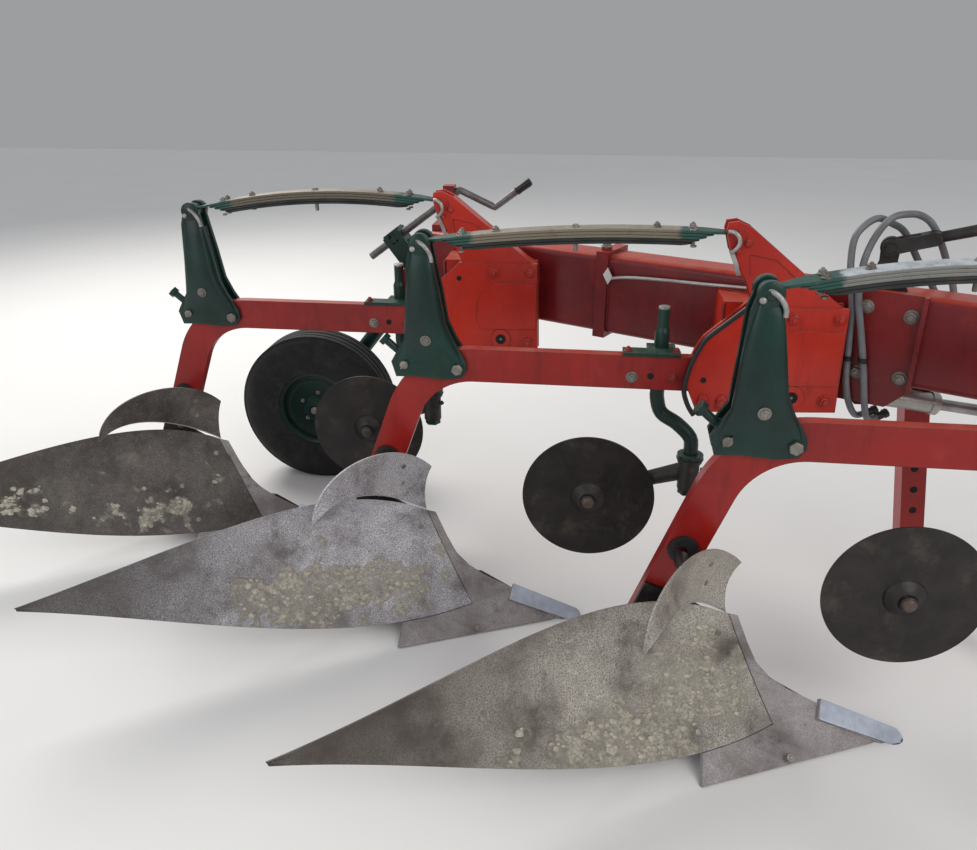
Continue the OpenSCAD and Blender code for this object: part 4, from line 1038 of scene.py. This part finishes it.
# Middle lines of the two hoses
HOSE_R = 9
HOSES = (
    [(-52, 500, 724), (-86, 490, 714), (-122, 462, 722), (-152, 444, 772), (-166, 446, 830),
     (-172, 446, 890), (-178, 445, 960), (-184, 445, 1036), (-203, 445, 1120), (-207, 450, 1202),
     (-187, 460, 1238), (-150, 475, 1258), (-106, 500, 1242), (-60, 524, 1214), (-14, 522, 1142),
     (34, 526, 1078), (58, 522, 1030), (66, 518, 985)],
    [(-22, 500, 716), (-56, 486, 704), (-90, 452, 716), (-112, 424, 764), (-122, 428, 820),
     (-136, 430, 890), (-152, 432, 960), (-176, 430, 1060), (-180, 430, 1140), (-170, 435, 1192),
     (-148, 440, 1240), (-120, 450, 1266), (-86, 460, 1272), (-50, 475, 1268), (-12, 492, 1246),
     (24, 508, 1200), (60, 518, 1134), (84, 512, 1075), (96, 500, 1010)],
)


def add_hoses():
    """Smooth hoses with a fitting at each end and two clips."""
    s = Shape()
    fit = Shape()
    for route in HOSES:
        way = smooth_way(route, 7)
        s.tube(way, HOSE_R, 20)
        for i in (0, -1):
            end, inner = way[i], way[i + 5 if i == 0 else -6]
            out = (end - inner).normalized()
            fit.revolve(end - out * 34, out, [(0, 10.5), (2, 11), (24, 11), (26, 10), (34, 10)], 20)
            fit.rod(end - out * 12, out, 13.5, 12, 6)
    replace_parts(s.make("smooth_hoses", HOSE, "frame"), "hoses")
    fit.make("hose_fittings", DARK, "frame")
    s = Shape()
    for x, y in ((-172, 446), (-136, 430)):
        inner, outer = HOSE_R + 0.2, HOSE_R + 3
        s.revolve((x - 1, y, 884), UP, [(0, inner), (0, outer), (13, outer), (13, inner)], 24)
    s.make("hose_clips", DARK, "frame")


# Depth wheel

WHEEL = Vector((-1968, 1330, 310))
ARM_X, ARM_Z = -1512, 890
SPINDLE_TILT = math.radians(36.4)


def add_wheel():
    """Ribbed tyre, the disc, nuts and valve of the rim, and two nuts of the arm."""
    s = Shape()
    # Side wall and tread from the rim out, as (across the tyre, radius)
    half = [(-62, 152), (-70, 158), (-72, 172), (-78, 200), (-80, 232), (-79, 258), (-75, 279), (-68, 292),
            (-60, 300)]
    ribs = []
    for a, b in ((-58, -36), (-29, -7), (7, 29), (36, 58)):
        ribs += [(a, 308.5), (a + 2, 310), (b - 2, 310), (b, 308.5), (b + 0.6, 301), (b + 3, 299)]
    profile = half + [(-59, 304)] + ribs[:-2] + [(59, 304)] + [(-y, r) for y, r in half[::-1]]
    profile += [(54, 152), (-54, 152)]
    s.rings([[WHEEL + FAR * y + around(a, r) for y, r in profile] for a in circle(120)], 0, False, True)
    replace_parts(s.make("ribbed_tyre", TYRE, "wheel", 0.5), "tyre")
    s = Shape()
    # Rolled flanges, the dished disc on each side and the hub, as (along the axle, radius)
    flange = [(40, 138), (56, 139), (61, 146), (64, 155), (61, 157), (57, 151.5), (40, 148)]
    near_dish = [(-44, 142), (-47, 128), (-40, 104), (-30, 88), (-34, 62), (-42, 44), (-42, 30),
                 (-34, 30), (-34, 44), (-26, 62), (-22, 88), (-32, 104), (-38, 128), (-36, 142)]
    far_dish = [(44, 142), (30, 120), (24, 90), (24, 40), (16, 40), (16, 92), (22, 124), (34, 142)]
    for side in (NEAR, FAR):
        s.revolve(WHEEL, side, flange, 64)
    s.revolve(WHEEL, FAR, near_dish, 72)
    s.revolve(WHEEL, FAR, far_dish, 72)
    s.revolve(WHEEL, NEAR, [(24, 22), (24, 52), (62, 50), (70, 44), (78, 40), (80, 20)], 40)
    s.make("wheel_disc", GREEN, "wheel", 0.5)
    s = Shape()
    for a in circle(5):
        s.bolt(WHEEL + NEAR * 34 + around(a + 0.2, 66), NEAR, 10, 9, 6)
    s.dome(WHEEL + NEAR * 80, NEAR, 17, 8)
    s.tube([WHEEL + Vector(p) for p in ((120, -16, 20), (122, -34, 22), (124, -46, 26))], 4, 8)
    s.make("wheel_nuts", BOLT, "wheel")
    s = Shape()
    s.bolt(WHEEL + FAR * 140, FAR, 24, 14, 6)
    s.make("hub_nut", BOLT, "wheel_arm")
    s = Shape()
    s.bolt((ARM_X, 1500, ARM_Z), FAR, 22, 12, 6)
    s.make("arm_nut", BOLT, "frame")
    add_crank()


def add_crank():
    """Smooth bend and black grip of the depth wheel's crank."""
    s = Shape()
    way = around(SPINDLE_TILT, 1)
    square = Vector((-way.z, 0, way.x))
    tip = Vector((ARM_X, 1300, ARM_Z)) + square * 156 + way * 300
    elbow = tip + Vector((130, 0, -60))
    end = elbow + way * 160
    s.tube([tip - way * 20, tip, mix(tip, elbow, 0.08), mix(tip, elbow, 0.5), mix(tip, elbow, 0.94), elbow,
            mix(elbow, end, 0.08), mix(elbow, end, 0.6)], 12.6, 16)
    s.make("crank_arm", WORN, "frame")
    s = Shape()
    s.revolve(end - way * 62, way, [(0, 14), (3, 16), (20, 15), (50, 16.5), (60, 15), (63, 10)], 20)
    s.make("crank_grip", BLACK, "frame")


# Headstock and stand

LINCHPIN_REACH = 486.5
STAND_LEAN = math.radians(8.7)


def pull_ring(s, at, r):
    """Wire ring in the plane of x and z."""
    s.tube([at + around(a, r) for a in circle(20, True)], 2.5, 8)


def add_headstock():
    """Bolts of the top link mast, and the linchpins and collars of the cross shaft."""
    s = Shape()
    pins = Shape()
    for side in (-1, 1):
        for x in (700, 770):
            s.bolt((x, SHAFT_MID + side * 45, 1060), (0, side, 0), 12, 9, 5)
        y = SHAFT_MID + side * LINCHPIN_REACH
        pins.rod((SHAFT_X, y, SHAFT_Z - 16), UP, 4.5, 32, 12)
        pull_ring(pins, Vector((SHAFT_X, y, SHAFT_Z + 19)), 17)
        collar = [(0, 40), (14, 40), (16, 37)]
        pins.revolve((SHAFT_X, SHAFT_MID + side * 300, SHAFT_Z), (0, side, 0), collar, 32)
    s.rod((718, 262, 1442), FAR, 16, 4, 20)
    s.make("headstock_bits", BOLT, "frame")
    pins.make("linchpins", BOLT, "cross_shaft")


def add_stand():
    """Row of holes in the stand as flat discs of painted shade, and the pin with its ring that holds it in
    the sleeve.
    """
    way = Vector((-math.sin(STAND_LEAN), 0, math.cos(STAND_LEAN)))
    side = Vector((way.z, 0, -way.x))
    base = Vector((40, 546, 725)) + side * 34
    s = Shape()
    for i in range(6):
        s.rod(base + way * (70 * i - 420) + FAR * 1.2, NEAR, 11, 1.35, 20)
    s.make("stand_holes", HOLE_SHADE, "stand")
    s = Shape()
    at = base + way * 180
    s.revolve(at + NEAR * 22, FAR, [(0, 9), (112, 9), (114, 6)], 16)
    pull_ring(s, at + Vector((0, -20, -10)), 18)
    s.make("stand_pin", BOLT, "frame")


add_frame_bits()
add_hoses()
add_wheel()
add_headstock()
add_stand()

# Floor and light

FLOOR, FLOOR_PALE = (0.80, 0.79, 0.77), (0.86, 0.855, 0.84)
SKY, SKY_STRENGTH = (0.86, 0.88, 0.92, 1), 0.5
BACKDROP = (0.335, 0.34, 0.35, 1)
LOOK_AT = Vector((0.2, 0, 0.5))
# Place, size, power and tint of each lamp
LAMPS = (
    ((-3.2, 3.6, 4.6), 3.5, 240, (1.0, 0.97, 0.93)),
    ((3.0, -3.6, 3.6), 4.0, 95, (1.0, 0.98, 0.96)),
    ((-3.5, -4.0, 2.6), 4.0, 55, (0.95, 0.97, 1.0)),
)


def add_floor():
    m = Mat("floor")
    m.finish(m.mix(m.noise(1.2, 3), FLOOR, FLOOR_PALE), 0.9)
    bm = bmesh.new()
    bmesh.ops.create_grid(bm, x_segments=2, y_segments=2, size=14)
    mesh = bpy.data.meshes.new("floor")
    bm.to_mesh(mesh)
    bm.free()
    floor = bpy.data.objects.new("floor", mesh)
    floor.location.z = -0.0005
    bpy.context.collection.objects.link(floor)
    dress(floor, m.material)


def add_sky():
    """Pale light from all sides; the camera sees a backdrop as grey as the far end of the floor."""
    world = bpy.data.worlds.new("world")
    world.use_nodes = True
    bpy.context.scene.world = world
    tree = world.node_tree
    light = tree.nodes["Background"]
    light.inputs[0].default_value = SKY
    light.inputs[1].default_value = SKY_STRENGTH
    backdrop = tree.nodes.new("ShaderNodeBackground")
    backdrop.inputs[0].default_value = BACKDROP
    ray = tree.nodes.new("ShaderNodeLightPath")
    choice = tree.nodes.new("ShaderNodeMixShader")
    tree.links.new(ray.outputs["Is Camera Ray"], choice.inputs[0])
    tree.links.new(light.outputs[0], choice.inputs[1])
    tree.links.new(backdrop.outputs[0], choice.inputs[2])
    tree.links.new(choice.outputs[0], tree.nodes["World Output"].inputs[0])


def add_lamps():
    for place, size, power, tint in LAMPS:
        light = bpy.data.lights.new("soft_light", "AREA")
        light.shape = "DISK"
        light.size = size
        light.energy = power
        light.color = tint
        obj = bpy.data.objects.new("soft_light", light)
        obj.location = place
        obj.rotation_euler = (LOOK_AT - Vector(place)).to_track_quat("-Z", "Y").to_euler()
        bpy.context.collection.objects.link(obj)


add_floor()
add_sky()
add_lamps()
bpy.context.scene.view_settings.view_transform = "Standard"
